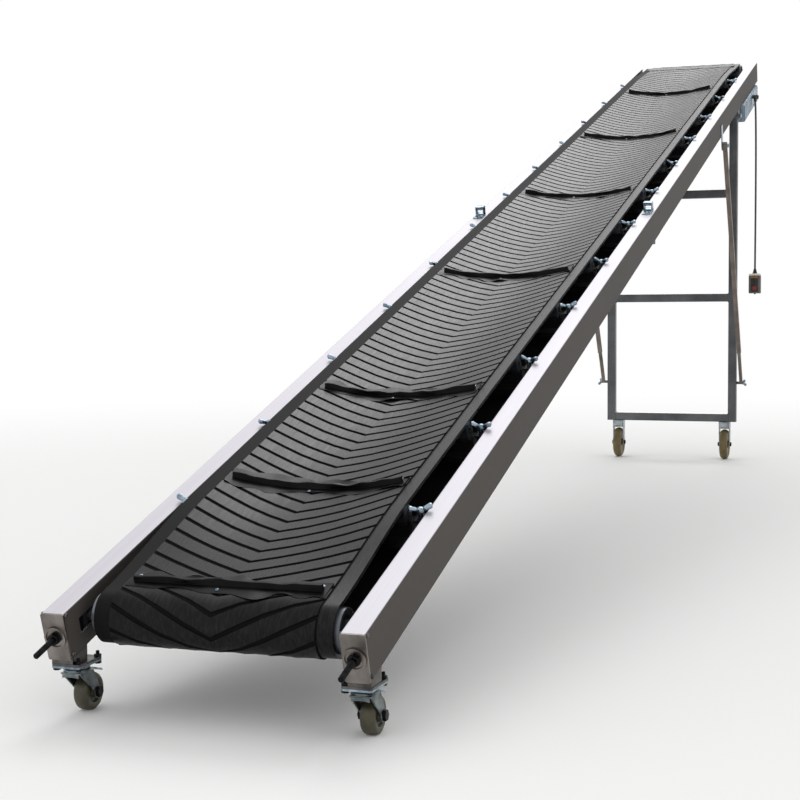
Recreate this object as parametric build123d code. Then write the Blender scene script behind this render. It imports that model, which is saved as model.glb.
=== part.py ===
from build123d import *
import os
from math import atan2, cos, degrees, hypot, pi, radians, sin, tan

# Mobile inclined belt conveyor, in millimetres and degrees.
# Machine axes: x across, y from the low tail end to the high head end, z up from the floor.
# Rail axes: x across, y along the rails from the tail's end faces, z out of the rails' top faces.

# Inclined frame
INCLINE = 16.9
TAIL_TOP = 215.0
RAIL_LENGTH = 6400.0
RAIL_WIDTH = 50.0
RAIL_HEIGHT = 100.0
RAIL_WALL = 3.0
RAIL_CORNER = 4.0
SEAM_AT = 3110.0
SEAM_GAP = 0.4
SEAT = 0.3
RUNNING_GAP = 0.05
CUT_PAST = 1.0

# Belt, its trough, its chevron ribs and its cross cleats
BELT_WIDTH = 500.0
BELT_SIDE_GAP = 35.0
BELT_THICK = 12.0
TROUGH_FLAT = 170.0
TROUGH_RISE = 32.0
RIB_PITCH = 90.0
RIB_GROOVE = 11.0
RIB_DEPTH = 3.5
RIB_RAKE = 0.5
RIB_MARGIN = 33.0
CLEAT_MARGIN = 35.0
CLEAT_FOOT = 22.0
CLEAT_SINK = 1.0
CLEAT_TOP = 12.0
CLEAT_HEIGHT = 18.0
CLEAT_FIRST = 145.0
CLEAT_PITCH = 1078.0
CLEAT_EXTRA = 633.0

# Tail end: caps, belt tension screws and short posts
CAP_THICK = 5.0
BOSS_RADIUS = 23.0
BOSS_PROUD = 4.0
BOSS_RIM = 4.0
DISH_DEPTH = 3.0
STUD_RADIUS = 6.0
STUD_PROUD = 76.0
STUD_HOLE_GAP = 0.5
NUT_RADIUS = 11.0
NUT_THICK = 12.0
TAIL_POST_INSET = 2.0
TAIL_POST_DEPTH = 56.0
TAIL_POST_WALL = 4.0
TAIL_POST_SETBACK = 8.0
BASE_PLATE_THICK = 5.0

# Drums, shafts and their bearing blocks
TAIL_DRUM_AT = 100.0
TAIL_DRUM_RADIUS = 44.5
HEAD_DRUM_FROM_END = 66.0
HEAD_DRUM_RADIUS = 50.0
DRUM_DROP = 50.0
DRUM_OVER_BELT = 10.0
DRUM_RIM = 5.0
DRUM_DISH = 9.0
DRUM_HUB_RADIUS = 22.0
SHAFT_RADIUS = 12.5
SHAFT_IN_RAIL = 20.0
BLOCK_LENGTH = 56.0
BLOCK_HEIGHT = 44.0
SLOT_HALF_HEIGHT = 16.0
SLOT_TRAVEL = 32.0
SHAFT_HOLE_GAP = 3.0

# Troughing idlers, their wing bolts and the return rollers
IDLER_FIRST = 530.0
IDLER_PITCH = 480.0
IDLER_LAST_CLEAR = 300.0
IDLER_RADIUS = 24.0
AXLE_FLATS = 12.0
IDLER_END_GAP = 5.0
CROSS_BAR_WIDTH = 40.0
CROSS_BAR_WALL = 5.0
CROSS_BAR_LIP = 14.0
CROSS_BAR_DROP = 74.0
EAR_THICK = 4.0
EAR_WIDTH = 30.0
EAR_ABOVE_AXLE = 4.0
TAB_WIDTH = 24.0
TAB_THICK = 4.0
TAB_DROP = 12.0
WING_STUD_RADIUS = 5.0
WING_HUB_RADIUS = 7.5
WING_HUB_HEIGHT = 10.0
WING_SPAN = 26.0
WING_ROOT = 8.0
WING_TIP = 13.0
WING_LIFT = 6.0
WING_THICK = 5.0
RETURN_FIRST = 770.0
RETURN_PITCH = 1440.0
RETURN_LAST_CLEAR = 600.0
RETURN_RADIUS = 21.0
RETURN_PLATE_THICK = 4.0
RETURN_PLATE_WIDTH = 40.0
RETURN_PLATE_UP = 20.0
RETURN_PLATE_DOWN = 12.0

# Latch over the rail joint and hinge under it
LATCH_BASE_LENGTH = 62.0
LATCH_BASE_THICK = 4.0
LATCH_WIDTH = 32.0
LATCH_EAR = 4.0
LATCH_LENGTH = 26.0
LATCH_HEIGHT = 34.0
LATCH_BOLT_RADIUS = 5.0
LATCH_SILL = 6.0
HINGE_LEAF = 120.0
HINGE_WIDTH = 40.0
HINGE_THICK = 6.0
HINGE_BARREL_RADIUS = 9.0
HINGE_KNUCKLES = 3
HINGE_SLIT = 1.0

# Control box, its gland and the pendant switch
BOX_BEFORE_END = 700.0
BOX_LENGTH = 590.0
BOX_DEPTH = 85.0
BOX_SET_IN = 18.0
BOX_WIDTH = 44.0
BOX_LID = 3.0
BOX_LID_OVER = 4.0
BOX_FLANGE = 6.0
KNOB_RADIUS = 11.0
KNOB_REACH = 14.0
KNOB_SET_IN = 60.0
GLAND_BEFORE_END = 360.0
GLAND_DROP = 120.0
GLAND_RADIUS = 9.0
GLAND_REACH = 15.0
GLAND_CAP = 8.0
GLAND_NOZZLE = 26.0
CORD_DIAMETER = 10.0
CORD_WALL = 1.0
CORD_SWAY = 8.0
CORD_BEND_DROP = 110.0
CORD_LENGTH_DROP = 868.0
PENDANT_WIDTH = 60.0
PENDANT_DEPTH = 50.0
PENDANT_HEIGHT = 104.0
PENDANT_CORNER = 9.0
BOOT_LENGTH = 24.0
BUTTON_RADIUS = 11.0
BUTTON_PROUD = 7.0
BUTTON_SPACING = 38.0
BUTTON_MIDDLE_DROP = 58.0

# Swinging leg frame under the head end
LEG_BEFORE_END = 807.0
LEG_TUBE = 40.0
LEG_WALL = 2.5
LEG_CORNER = 3.5
LEG_SET_IN = 9.0
PIVOT_DROP = 32.0
PIVOT_RADIUS = 8.0
PIVOT_HEAD_RADIUS = 12.0
PIVOT_HEAD_THICK = 6.0
POST_ABOVE_PIVOT = 18.0
LEG_FOOT = 189.0
BAR_BOTTOMS = {"bottom": 189.0, "middle": 793.0, "upper": 1311.0}
EAR_GAP = 1.0
EAR_UP_RAIL = 45.0

# Telescopic braces beside the leg posts
LUG_BEFORE_END = 1496.0
LUG_DROP = 139.0
LUG_TOP_DROP = 45.0
LUG_WIDTH = 44.0
LUG_THICK = 3.5
LUG_WASHER_RADIUS = 9.0
BRACE_TUBE = 20.0
BRACE_WALL = 2.0
BRACE_CORNER = 2.0
BRACE_ROD = 15.0
BRACE_END_Z = 540.0
BRACE_EYE_Z = 386.0
BRACE_PIN_RADIUS = 5.0
BRACE_EYE_OVER = 14.0

# Swivel casters under the tail and rigid casters under the leg frame
CASTER_HEIGHT = 105.0
CASTER_SET_IN = 6.0
CASTER_Y = 82.0
CASTER_PLATE_X = 62.0
CASTER_PLATE_Y = 92.0
CASTER_PLATE_THICK = 4.0
CASTER_PLATE_CORNER = 6.0
CASTER_TRAIL = 42.0
FRONT_WHEEL_RADIUS = 37.5
FRONT_WHEEL_WIDTH = 30.0
FRONT_HUB_RADIUS = 14.0
REAR_WHEEL_RADIUS = 75.0
REAR_WHEEL_WIDTH = 40.0
REAR_HUB_RADIUS = 24.0
REAR_WHEEL_SET_IN = 57.0
FRONT_BEVEL = 6.0
REAR_BEVEL = 14.0
BEVEL_BREAK = 0.3
TYRE_DEPTH = 16.0
WEB_RECESS = 5.0
WHEEL_SIDE_GAP = 3.0
HUB_SIDE_GAP = 1.0
FORK_THICK = 4.0
FRONT_APRON = 12.0
REAR_APRON = 32.0
RACE_RADIUS = 27.0
RACE_HEIGHT = 12.0
RACE_STEP = 4.0
AXLE_RADIUS = 6.0
AXLE_END_RADIUS = 13.0
AXLE_NUT_RADIUS = 10.0
AXLE_NUT_THICK = 8.0
PEDAL_WIDTH = 34.0
PEDAL_REACH = 78.0
PEDAL_THICK = 3.0
PEDAL_DROP = 12.0

# Places worked out from the driving sizes
SIDES = {"left": -1, "right": 1}
BELT_HALF = BELT_WIDTH / 2
RAIL_INNER = BELT_HALF + BELT_SIDE_GAP
RAIL_OUTER = RAIL_INNER + RAIL_WIDTH
RAIL_MID = RAIL_INNER + RAIL_WIDTH / 2
DRUM_LENGTH = BELT_WIDTH + 2 * DRUM_OVER_BELT
HEAD_DRUM_AT = RAIL_LENGTH - HEAD_DRUM_FROM_END
SLOPE = Pos(0, 0, TAIL_TOP) * Rot(INCLINE, 0, 0)
TAIL_BELT_RADIUS = TAIL_DRUM_RADIUS + SEAT + BELT_THICK
HEAD_BELT_RADIUS = HEAD_DRUM_RADIUS + SEAT + BELT_THICK


def stations(first, pitch, last):
    """Evenly spaced places from the first up to the last."""
    return [first + pitch * i for i in range(int((last - first) // pitch) + 1)]


IDLER_STATIONS = stations(IDLER_FIRST, IDLER_PITCH, HEAD_DRUM_AT - IDLER_LAST_CLEAR)
RETURN_STATIONS = stations(RETURN_FIRST, RETURN_PITCH, HEAD_DRUM_AT - RETURN_LAST_CLEAR)
TROUGH_END = IDLER_STATIONS[-1]
CLEAT_STATIONS = stations(CLEAT_FIRST, CLEAT_PITCH, TROUGH_END) + [CLEAT_EXTRA]
CARRY_LENGTH = HEAD_DRUM_AT - TAIL_DRUM_AT
HALF_LOOP = CARRY_LENGTH + pi * HEAD_BELT_RADIUS
PARKED_CLEATS = [HEAD_DRUM_AT + HALF_LOOP - (place - TAIL_DRUM_AT)
                 for place in stations(CLEAT_FIRST, CLEAT_PITCH, TAIL_DRUM_AT + HALF_LOOP + CARRY_LENGTH)
                 if place - TAIL_DRUM_AT > HALF_LOOP]
RETURN_CLEATS = [place for place in PARKED_CLEATS
                 if all(abs(place - along) > RETURN_RADIUS + CLEAT_FOOT for along in RETURN_STATIONS)]


def on_slope(along, out):
    """Machine y and z of a point at a distance along the rails and out of their top faces."""
    y = along * cos(radians(INCLINE)) - out * sin(radians(INCLINE))
    z = TAIL_TOP + along * sin(radians(INCLINE)) + out * cos(radians(INCLINE))
    return y, z


def along_at(y, out):
    """Distance along the rails at which a line parallel to them passes over a machine y."""
    return (y + out * sin(radians(INCLINE))) / cos(radians(INCLINE))


PIVOT_OUT = -(RAIL_HEIGHT + PIVOT_DROP)
PIVOT_ALONG = RAIL_LENGTH - LEG_BEFORE_END
LEG_Y, PIVOT_Z = on_slope(PIVOT_ALONG, PIVOT_OUT)
LEG_OUTER_X = RAIL_OUTER - LEG_SET_IN
LUG_AT = RAIL_LENGTH - LUG_BEFORE_END
LUG_Y, LUG_Z = on_slope(LUG_AT, -LUG_DROP)
BRACE_X = RAIL_OUTER + LUG_THICK + SEAT + BRACE_TUBE / 2
BRACE_LENGTH = hypot(LEG_Y - LUG_Y, LUG_Z - BRACE_EYE_Z)
BRACE_ANGLE = degrees(atan2(BRACE_EYE_Z - LUG_Z, LEG_Y - LUG_Y))
BRACE_TUBE_LENGTH = (LUG_Z - BRACE_END_Z) / sin(radians(-BRACE_ANGLE))
BRACE_LINE = Pos(0, LUG_Y, LUG_Z) * Rot(BRACE_ANGLE, 0, 0)
CASTER_X = RAIL_MID - CASTER_SET_IN
REAR_WHEEL_X = LEG_OUTER_X - REAR_WHEEL_SET_IN


def block(x0, x1, y0, y1, z0, z1):
    """Rectangular solid between two corners, given in any order."""
    size = (abs(x1 - x0), abs(y1 - y0), abs(z1 - z0))
    return Pos((x0 + x1) / 2, (y0 + y1) / 2, (z0 + z1) / 2) * Box(*size)


def bar_x(radius, x0, x1, y, z):
    """Round bar across the machine."""
    return Pos((x0 + x1) / 2, y, z) * Rot(0, 90, 0) * Cylinder(radius, abs(x1 - x0))


def bar_y(radius, x, y0, y1, z):
    """Round bar along y."""
    return Pos(x, (y0 + y1) / 2, z) * Rot(90, 0, 0) * Cylinder(radius, abs(y1 - y0))


def bar_z(radius, x, y, z0, z1):
    """Round bar along z."""
    return Pos(x, y, (z0 + z1) / 2) * Cylinder(radius, abs(z1 - z0))


def hex_bar(flats, length):
    """Six-sided bar along its own z, measured across its flats."""
    return extrude(RegularPolygon(flats / 2, 6, major_radius=False), length / 2, both=True)


def joined(pieces):
    """One shape of several solids."""
    return Part() + list(pieces)


def plate_yz(points, x0, x1):
    """Flat plate across x whose outline is a polygon of (y, z) points."""
    outline = make_face(Polyline(*[(x0, y, z) for y, z in points], close=True))
    return extrude(outline, amount=abs(x1 - x0), dir=(1 if x1 > x0 else -1, 0, 0))


def square_tube(width, height, wall, corner, length):
    """Rectangular tube along its own z, from z = 0, with rounded corners."""
    profile = RectangleRounded(width, height, corner)
    profile -= RectangleRounded(width - 2 * wall, height - 2 * wall, max(corner - wall, wall / 4))
    return extrude(profile, length)


# Side rails: rectangular tubes in two halves that meet at the seam

def rail(side, start, end):
    """One half of a side rail, with the shaft openings in its inner wall."""
    hand = SIDES[side]
    tube = Pos(hand * RAIL_MID, start, -RAIL_HEIGHT / 2) * Rot(-90, 0, 0) * square_tube(
        RAIL_WIDTH, RAIL_HEIGHT, RAIL_WALL, RAIL_CORNER, end - start)
    wall_from = hand * (RAIL_INNER - CUT_PAST)
    wall_to = hand * (RAIL_INNER + RAIL_WALL + CUT_PAST)
    tube -= block(wall_from, wall_to, TAIL_DRUM_AT - SLOT_TRAVEL - SLOT_HALF_HEIGHT,
                  TAIL_DRUM_AT + SLOT_TRAVEL + SLOT_HALF_HEIGHT,
                  -DRUM_DROP - SLOT_HALF_HEIGHT, -DRUM_DROP + SLOT_HALF_HEIGHT)
    tube -= bar_x(SHAFT_RADIUS + SHAFT_HOLE_GAP, wall_from, wall_to, HEAD_DRUM_AT, -DRUM_DROP)
    return tube


def end_cap(side):
    """Cap on a rail's tail end, with the dished round boss that the tension screw passes through."""
    x = SIDES[side] * RAIL_MID
    cap = Pos(x, 0, -RAIL_HEIGHT / 2) * Rot(-90, 0, 0) * extrude(
        RectangleRounded(RAIL_WIDTH, RAIL_HEIGHT, RAIL_CORNER), CAP_THICK)
    cap += bar_y(BOSS_RADIUS, x, -BOSS_PROUD, CAP_THICK / 2, -DRUM_DROP)
    cap -= bar_y(BOSS_RADIUS - BOSS_RIM, x, -BOSS_PROUD - CUT_PAST, DISH_DEPTH - BOSS_PROUD, -DRUM_DROP)
    hole = STUD_RADIUS + STUD_HOLE_GAP
    return cap - bar_y(hole, x, -BOSS_PROUD - CUT_PAST, CAP_THICK + CUT_PAST, -DRUM_DROP)


def tension_screw(side):
    """Threaded stud and nut that push a tail bearing block along the rail."""
    x = SIDES[side] * RAIL_MID
    nut_seat = DISH_DEPTH - BOSS_PROUD
    stud = bar_y(STUD_RADIUS, x, -STUD_PROUD, TAIL_DRUM_AT - BLOCK_LENGTH / 2, -DRUM_DROP)
    nut = Pos(x, nut_seat - NUT_THICK / 2, -DRUM_DROP) * Rot(90, 0, 0) * hex_bar(2 * NUT_RADIUS, NUT_THICK)
    return stud + nut


def bearing_block(side, along):
    """Block inside a rail that carries a drum's shaft."""
    hand = SIDES[side]
    half_height = BLOCK_HEIGHT / 2
    inner = RAIL_INNER + RAIL_WALL + SEAT
    outer = RAIL_OUTER - RAIL_WALL - SEAT
    solid = block(hand * inner, hand * outer, along - BLOCK_LENGTH / 2, along + BLOCK_LENGTH / 2,
                  -DRUM_DROP - half_height, -DRUM_DROP + half_height)
    bore_end = RAIL_INNER + RAIL_WALL + SHAFT_IN_RAIL
    bore = SHAFT_RADIUS + RUNNING_GAP
    return solid - bar_x(bore, hand * (inner - CUT_PAST), hand * bore_end, along, -DRUM_DROP)


def drum(radius, along):
    """Belt drum with dished ends and a shaft through both rails' inner walls."""
    reach = RAIL_INNER + RAIL_WALL + SHAFT_IN_RAIL - SEAT
    half = DRUM_LENGTH / 2
    body = bar_x(radius, -half, half, along, -DRUM_DROP)
    for hand in SIDES.values():
        dish = bar_x(radius - DRUM_RIM, hand * (half - DRUM_DISH), hand * (half + CUT_PAST), along,
                     -DRUM_DROP)
        body -= dish - bar_x(DRUM_HUB_RADIUS, 0, hand * DRUM_LENGTH, along, -DRUM_DROP)
    return body + bar_x(SHAFT_RADIUS, -reach, reach, along, -DRUM_DROP)


def tail_post(side):
    """Short channel post under a rail's tail end, cut to the slope, on the plate that takes the caster."""
    hand = SIDES[side]
    front = on_slope(0, -RAIL_HEIGHT)[0] + TAIL_POST_SETBACK
    back = front + TAIL_POST_DEPTH
    floor = CASTER_HEIGHT + BASE_PLATE_THICK

    def underside(y):
        return on_slope(along_at(y, -RAIL_HEIGHT), -RAIL_HEIGHT)[1]

    half = RAIL_WIDTH / 2 - TAIL_POST_INSET
    hollow = half - TAIL_POST_WALL
    wedge = plate_yz([(front, floor), (back, floor), (back, underside(back)), (front, underside(front))],
                     hand * (RAIL_MID - half), hand * (RAIL_MID + half))
    wedge -= block(hand * (RAIL_MID - hollow), hand * (RAIL_MID + hollow), front + TAIL_POST_WALL,
                   back + CUT_PAST, floor, underside(back) + CUT_PAST)
    plate = Pos(hand * CASTER_X, CASTER_Y, CASTER_HEIGHT) * extrude(
        RectangleRounded(CASTER_PLATE_X, CASTER_PLATE_Y, CASTER_PLATE_CORNER), BASE_PLATE_THICK)
    return wedge + plate


# Belt: flat on the drums, troughed between them, with chevron ribs between cut grooves

def trough_outline(along, middle, edge, above, below):
    """Cross-section that follows the carrying face, from a height above it to a depth below it."""
    flat = TROUGH_FLAT / 2
    line = [(-BELT_HALF, edge), (-flat, middle), (flat, middle), (BELT_HALF, edge)]
    outline = [(x, z + above) for x, z in line] + [(x, z - below) for x, z in reversed(line)]
    return make_face(Polyline(*[(x, along, z) for x, z in outline], close=True))


def carrying_run(above, below):
    """Layer along the carrying run: flat at the drums, troughed from the first idler to the last."""
    tail_top = TAIL_BELT_RADIUS - DRUM_DROP
    head_top = HEAD_BELT_RADIUS - DRUM_DROP
    tail_trough = trough_outline(IDLER_FIRST, 0, TROUGH_RISE, above, below)
    head_trough = trough_outline(TROUGH_END, 0, TROUGH_RISE, above, below)
    layer = loft([trough_outline(TAIL_DRUM_AT, tail_top, tail_top, above, below), tail_trough], ruled=True)
    layer += extrude(tail_trough, amount=TROUGH_END - IDLER_FIRST, dir=(0, 1, 0))
    head_flat = trough_outline(HEAD_DRUM_AT, head_top, head_top, above, below)
    return layer + loft([head_trough, head_flat], ruled=True)


def returning_run(above, below):
    """Layer along the flat return run, measured up and down from its outer face."""
    tail_face = -DRUM_DROP - TAIL_BELT_RADIUS
    head_face = -DRUM_DROP - HEAD_BELT_RADIUS
    return plate_yz([(TAIL_DRUM_AT, tail_face - below), (HEAD_DRUM_AT, head_face - below),
                     (HEAD_DRUM_AT, head_face + above), (TAIL_DRUM_AT, tail_face + above)],
                    -BELT_HALF, BELT_HALF)


def belt_wrap(along, radius, keep_from, keep_to):
    """Half turn of belt round a drum."""
    outer = radius + SEAT + BELT_THICK
    ring = bar_x(outer, -BELT_HALF, BELT_HALF, along, -DRUM_DROP)
    ring -= bar_x(radius + SEAT, -BELT_HALF, BELT_HALF, along, -DRUM_DROP)
    return ring & block(-BELT_HALF, BELT_HALF, keep_from, keep_to, -DRUM_DROP - outer, -DRUM_DROP + outer)


def groove_prism(apex, rake, low, high):
    """Upright V between two ribs, its arms raked along the belt from the apex on the centre line."""
    reach = BELT_HALF - RIB_MARGIN
    front = [(-reach, apex + rake * reach), (0, apex), (reach, apex + rake * reach)]
    back = [(x, y + RIB_GROOVE) for x, y in reversed(front)]
    outline = Polyline(*[(x, y, low) for x, y in front + back], close=True)
    return extrude(make_face(outline), amount=high - low, dir=(0, 0, 1))


def grooves(layer, rake):
    """Chevron grooves of one run, each kept to a thin layer at the belt's face."""
    box = layer.bounding_box()
    lean = abs(rake) * (BELT_HALF - RIB_MARGIN)
    first = box.min.Y + (RIB_PITCH if rake > 0 else RIB_PITCH + lean)
    last = box.max.Y - RIB_PITCH - (lean if rake > 0 else 0)
    places = stations(first, RIB_PITCH, last)
    return [layer & groove_prism(apex, rake, box.min.Z, box.max.Z) for apex in places]


def return_height(along):
    """Height of the belt's outer face on the return run."""
    share = (along - TAIL_DRUM_AT) / (HEAD_DRUM_AT - TAIL_DRUM_AT)
    return -DRUM_DROP - TAIL_BELT_RADIUS - share * (HEAD_BELT_RADIUS - TAIL_BELT_RADIUS)


def cleat_outline(along, up, sink):
    """Tapered outline of a cleat, rooted in the belt and standing up or hanging down."""
    foot = CLEAT_FOOT / 2
    top = CLEAT_TOP / 2
    root = -up * BELT_THICK / 2
    start = -up * sink
    return [(along - foot, root), (along + foot, root), (along + foot, start), (along + top, up * CLEAT_HEIGHT),
            (along - top, up * CLEAT_HEIGHT), (along - foot, start)]


def return_cleat(along):
    """Straight cleat under the return run."""
    half = BELT_HALF - CLEAT_MARGIN
    return Pos(0, 0, return_height(along)) * plate_yz(cleat_outline(along, -1, CLEAT_SINK), -half, half)


def cleat(along):
    """Tapered cross strip on the belt, bent to the trough."""
    share = min(1.0, max(0.0, (along - TAIL_DRUM_AT) / (IDLER_FIRST - TAIL_DRUM_AT)))
    middle = (TAIL_BELT_RADIUS - DRUM_DROP) * (1 - share)
    flat = TROUGH_FLAT / 2
    half = BELT_HALF - CLEAT_MARGIN
    tip = middle + TROUGH_RISE * share * (half - flat) / (BELT_HALF - flat)
    strip = plate_yz(cleat_outline(along, 1, 0), -flat, flat)
    ends = []
    for hand in SIDES.values():
        lean = degrees(atan2(tip - middle, half - flat))
        arm = plate_yz(cleat_outline(along, 1, 0), 0, hand * hypot(half - flat, tip - middle))
        ends.append(Pos(hand * flat, 0, 0) * Rot(0, -hand * lean, 0) * arm)
    return Pos(0, 0, middle) * (strip + ends)


def belt():
    """Endless belt: two runs and two half turns, grooved into chevron ribs, with its cleats."""
    loop = carrying_run(0, BELT_THICK) + returning_run(BELT_THICK, 0)
    loop += belt_wrap(TAIL_DRUM_AT, TAIL_DRUM_RADIUS, TAIL_DRUM_AT - TAIL_BELT_RADIUS, TAIL_DRUM_AT)
    loop += belt_wrap(HEAD_DRUM_AT, HEAD_DRUM_RADIUS, HEAD_DRUM_AT, HEAD_DRUM_AT + HEAD_BELT_RADIUS)
    loop -= grooves(carrying_run(BELT_THICK, RIB_DEPTH), RIB_RAKE)
    loop -= grooves(returning_run(RIB_DEPTH, BELT_THICK), -RIB_RAKE)
    loop += [cleat(station) for station in CLEAT_STATIONS]
    return loop + [return_cleat(station) for station in RETURN_CLEATS]


# Idlers between the belt's two runs

WING_TILT = degrees(atan2(TROUGH_RISE, BELT_HALF - TROUGH_FLAT / 2))
IDLER_AXIS = -BELT_THICK - SEAT - IDLER_RADIUS
EAR_AT = TROUGH_FLAT / 2
OUTER_EAR_AT = BELT_HALF + EAR_THICK
SIDE_ROLLER_X = (EAR_AT + OUTER_EAR_AT) / 2
SIDE_ROLLER_Z = (TROUGH_RISE * (SIDE_ROLLER_X - EAR_AT) / (BELT_HALF - EAR_AT) - BELT_THICK
                 - (IDLER_RADIUS + SEAT) / cos(radians(WING_TILT)))
SIDE_AXLE = ((OUTER_EAR_AT - EAR_AT - EAR_THICK) / cos(radians(WING_TILT))
             - 2 * AXLE_FLATS * tan(radians(WING_TILT)))
TAB_TOP = -TAB_DROP
WING_BOLT_X = RAIL_INNER - TAB_WIDTH / 2


def roller(radius, length, axle):
    """Plain roller on a six-sided axle, along its own z."""
    return Cylinder(radius, length) + hex_bar(AXLE_FLATS, axle)


def idler_rollers(along):
    """Level middle roller and two tilted side rollers of one station."""
    between = 2 * EAR_AT - EAR_THICK
    lie = Pos(0, along, IDLER_AXIS) * Rot(0, 90, 0)
    rollers = [lie * roller(IDLER_RADIUS, between - 2 * IDLER_END_GAP, between)]
    for hand in SIDES.values():
        lie = Pos(hand * SIDE_ROLLER_X, along, SIDE_ROLLER_Z) * Rot(0, 90 - hand * WING_TILT, 0)
        rollers.append(lie * roller(IDLER_RADIUS, SIDE_AXLE - 2 * IDLER_END_GAP, SIDE_AXLE))
    return rollers


def idler_bracket(along):
    """Angle bar from rail to rail with ears for the rollers and end tabs for the wing bolts."""
    half_width = CROSS_BAR_WIDTH / 2
    half_ear = EAR_WIDTH / 2
    under = -CROSS_BAR_DROP
    bar = block(-RAIL_INNER, RAIL_INNER, along - half_width, along + half_width,
                under, under + CROSS_BAR_WALL)
    bar += block(-RAIL_INNER, RAIL_INNER, along + half_width - CROSS_BAR_WALL, along + half_width,
                 under - CROSS_BAR_LIP, under)
    ear_top = IDLER_AXIS + AXLE_FLATS / 2 + EAR_ABOVE_AXLE
    for hand in SIDES.values():
        for ear, top in ((EAR_AT, ear_top), (OUTER_EAR_AT, TAB_TOP - TAB_THICK)):
            bar += block(hand * (ear - EAR_THICK / 2), hand * (ear + EAR_THICK / 2),
                         along - half_ear, along + half_ear, under, top)
        bar += block(hand * (RAIL_INNER - EAR_THICK), hand * RAIL_INNER,
                     along - half_width, along + half_width, under, TAB_TOP)
        bar += block(hand * (RAIL_INNER - TAB_WIDTH), hand * RAIL_INNER,
                     along - half_width, along + half_width, TAB_TOP - TAB_THICK, TAB_TOP)
    return bar


def wing(thick):
    """One wing of a wing bolt in its own xz plane, widening from its root at x = 0."""
    points = [(0, 0), (WING_SPAN, WING_LIFT), (WING_SPAN, WING_LIFT + WING_TIP), (0, WING_ROOT)]
    outline = Polyline(*[(x, 0, z) for x, z in points], close=True)
    return extrude(make_face(outline), thick / 2, dir=(0, 1, 0), both=True)


def wing_bolt(side, along):
    """Wing bolt that stands on an idler bracket's end tab, one wing over the rail."""
    x = SIDES[side] * WING_BOLT_X
    stud = Pos(x, along, (TAB_TOP + SEAT) / 2) * hex_bar(2 * WING_STUD_RADIUS, SEAT - TAB_TOP)
    hub = Pos(x, along, SEAT + WING_HUB_HEIGHT / 2) * hex_bar(2 * WING_HUB_RADIUS, WING_HUB_HEIGHT)
    wings = [Pos(x, along, SEAT) * Rot(0, 0, turn) * wing(WING_THICK) for turn in (0, 180)]
    return stud + hub + wings


def return_roller(along):
    """Roller under the return run."""
    axis = return_height(along) - SEAT - RETURN_RADIUS
    return Pos(0, along, axis) * Rot(0, 90, 0) * roller(
        RETURN_RADIUS, DRUM_LENGTH, 2 * (RAIL_INNER - RETURN_PLATE_THICK))


def return_plate(side, along):
    """Plate on a rail's inner face that carries a return roller's axle."""
    hand = SIDES[side]
    half = RETURN_PLATE_WIDTH / 2
    axis = return_height(along) - SEAT - RETURN_RADIUS
    return block(hand * (RAIL_INNER - RETURN_PLATE_THICK), hand * RAIL_INNER, along - half, along + half,
                 axis - RETURN_PLATE_DOWN, -RAIL_HEIGHT + RETURN_PLATE_UP)


# Latch and hinge at the seam

def fold_latch(side):
    """Upright latch loop on the head half's top face, its hook plate across the seam."""
    x = SIDES[side] * RAIL_MID
    half = LATCH_WIDTH / 2
    start = SEAM_AT + SEAM_GAP
    end = start + LATCH_LENGTH
    hook = SEAM_AT - (LATCH_BASE_LENGTH - LATCH_LENGTH)
    latch = block(x - half, x + half, hook, end, 0, LATCH_BASE_THICK)
    for hand in SIDES.values():
        latch += block(x + hand * half, x + hand * (half - LATCH_EAR), start, end,
                       LATCH_BASE_THICK, LATCH_HEIGHT)
    latch += block(x - half, x + half, start, end, LATCH_BASE_THICK, LATCH_BASE_THICK + LATCH_SILL)
    height = LATCH_HEIGHT - LATCH_BOLT_RADIUS
    return latch + bar_x(LATCH_BOLT_RADIUS, x - half, x + half, (start + end) / 2, height)


def splice_hinge(side):
    """Hinge leaves and knuckled barrel under a rail, across the seam."""
    x = SIDES[side] * RAIL_MID
    half = HINGE_WIDTH / 2
    hinge = block(x - half, x + half, SEAM_AT - HINGE_LEAF, SEAM_AT + HINGE_LEAF,
                  -RAIL_HEIGHT - HINGE_THICK, -RAIL_HEIGHT)
    axis = -RAIL_HEIGHT - HINGE_BARREL_RADIUS
    hinge += bar_x(HINGE_BARREL_RADIUS, x - half, x + half, SEAM_AT, axis)
    knuckle = HINGE_WIDTH / HINGE_KNUCKLES
    for i in range(1, HINGE_KNUCKLES):
        slit = x - half + i * knuckle
        hinge -= block(slit - HINGE_SLIT / 2, slit + HINGE_SLIT / 2, SEAM_AT - 2 * HINGE_BARREL_RADIUS,
                       SEAM_AT + 2 * HINGE_BARREL_RADIUS, axis - 2 * HINGE_BARREL_RADIUS, axis)
    return hinge


# Control box and pendant

BOX_INNER_X = RAIL_INNER + BOX_SET_IN
BOX_START = RAIL_LENGTH - BOX_BEFORE_END
BOX_FACE = BOX_INNER_X + BOX_WIDTH


def control_box():
    """Box under the right rail's head end, with its lid, its hanging flange and a switch knob."""
    end = BOX_START + BOX_LENGTH
    floor = -RAIL_HEIGHT - BOX_DEPTH
    box = block(BOX_INNER_X, BOX_FACE - BOX_LID, BOX_START, end, floor, -RAIL_HEIGHT)
    box += block(BOX_FACE - BOX_LID, BOX_FACE, BOX_START + BOX_LID_OVER, end - BOX_LID_OVER,
                 floor + BOX_LID_OVER, -RAIL_HEIGHT - BOX_LID_OVER)
    box += block(BOX_INNER_X - BOX_SET_IN, BOX_INNER_X, BOX_START, BOX_START + BOX_FLANGE,
                 floor, -RAIL_HEIGHT)
    knob = bar_x(KNOB_RADIUS, BOX_FACE - BOX_LID, BOX_FACE - BOX_LID + KNOB_REACH, end - KNOB_SET_IN,
                 floor + KNOB_SET_IN / 2)
    return box + knob


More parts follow.
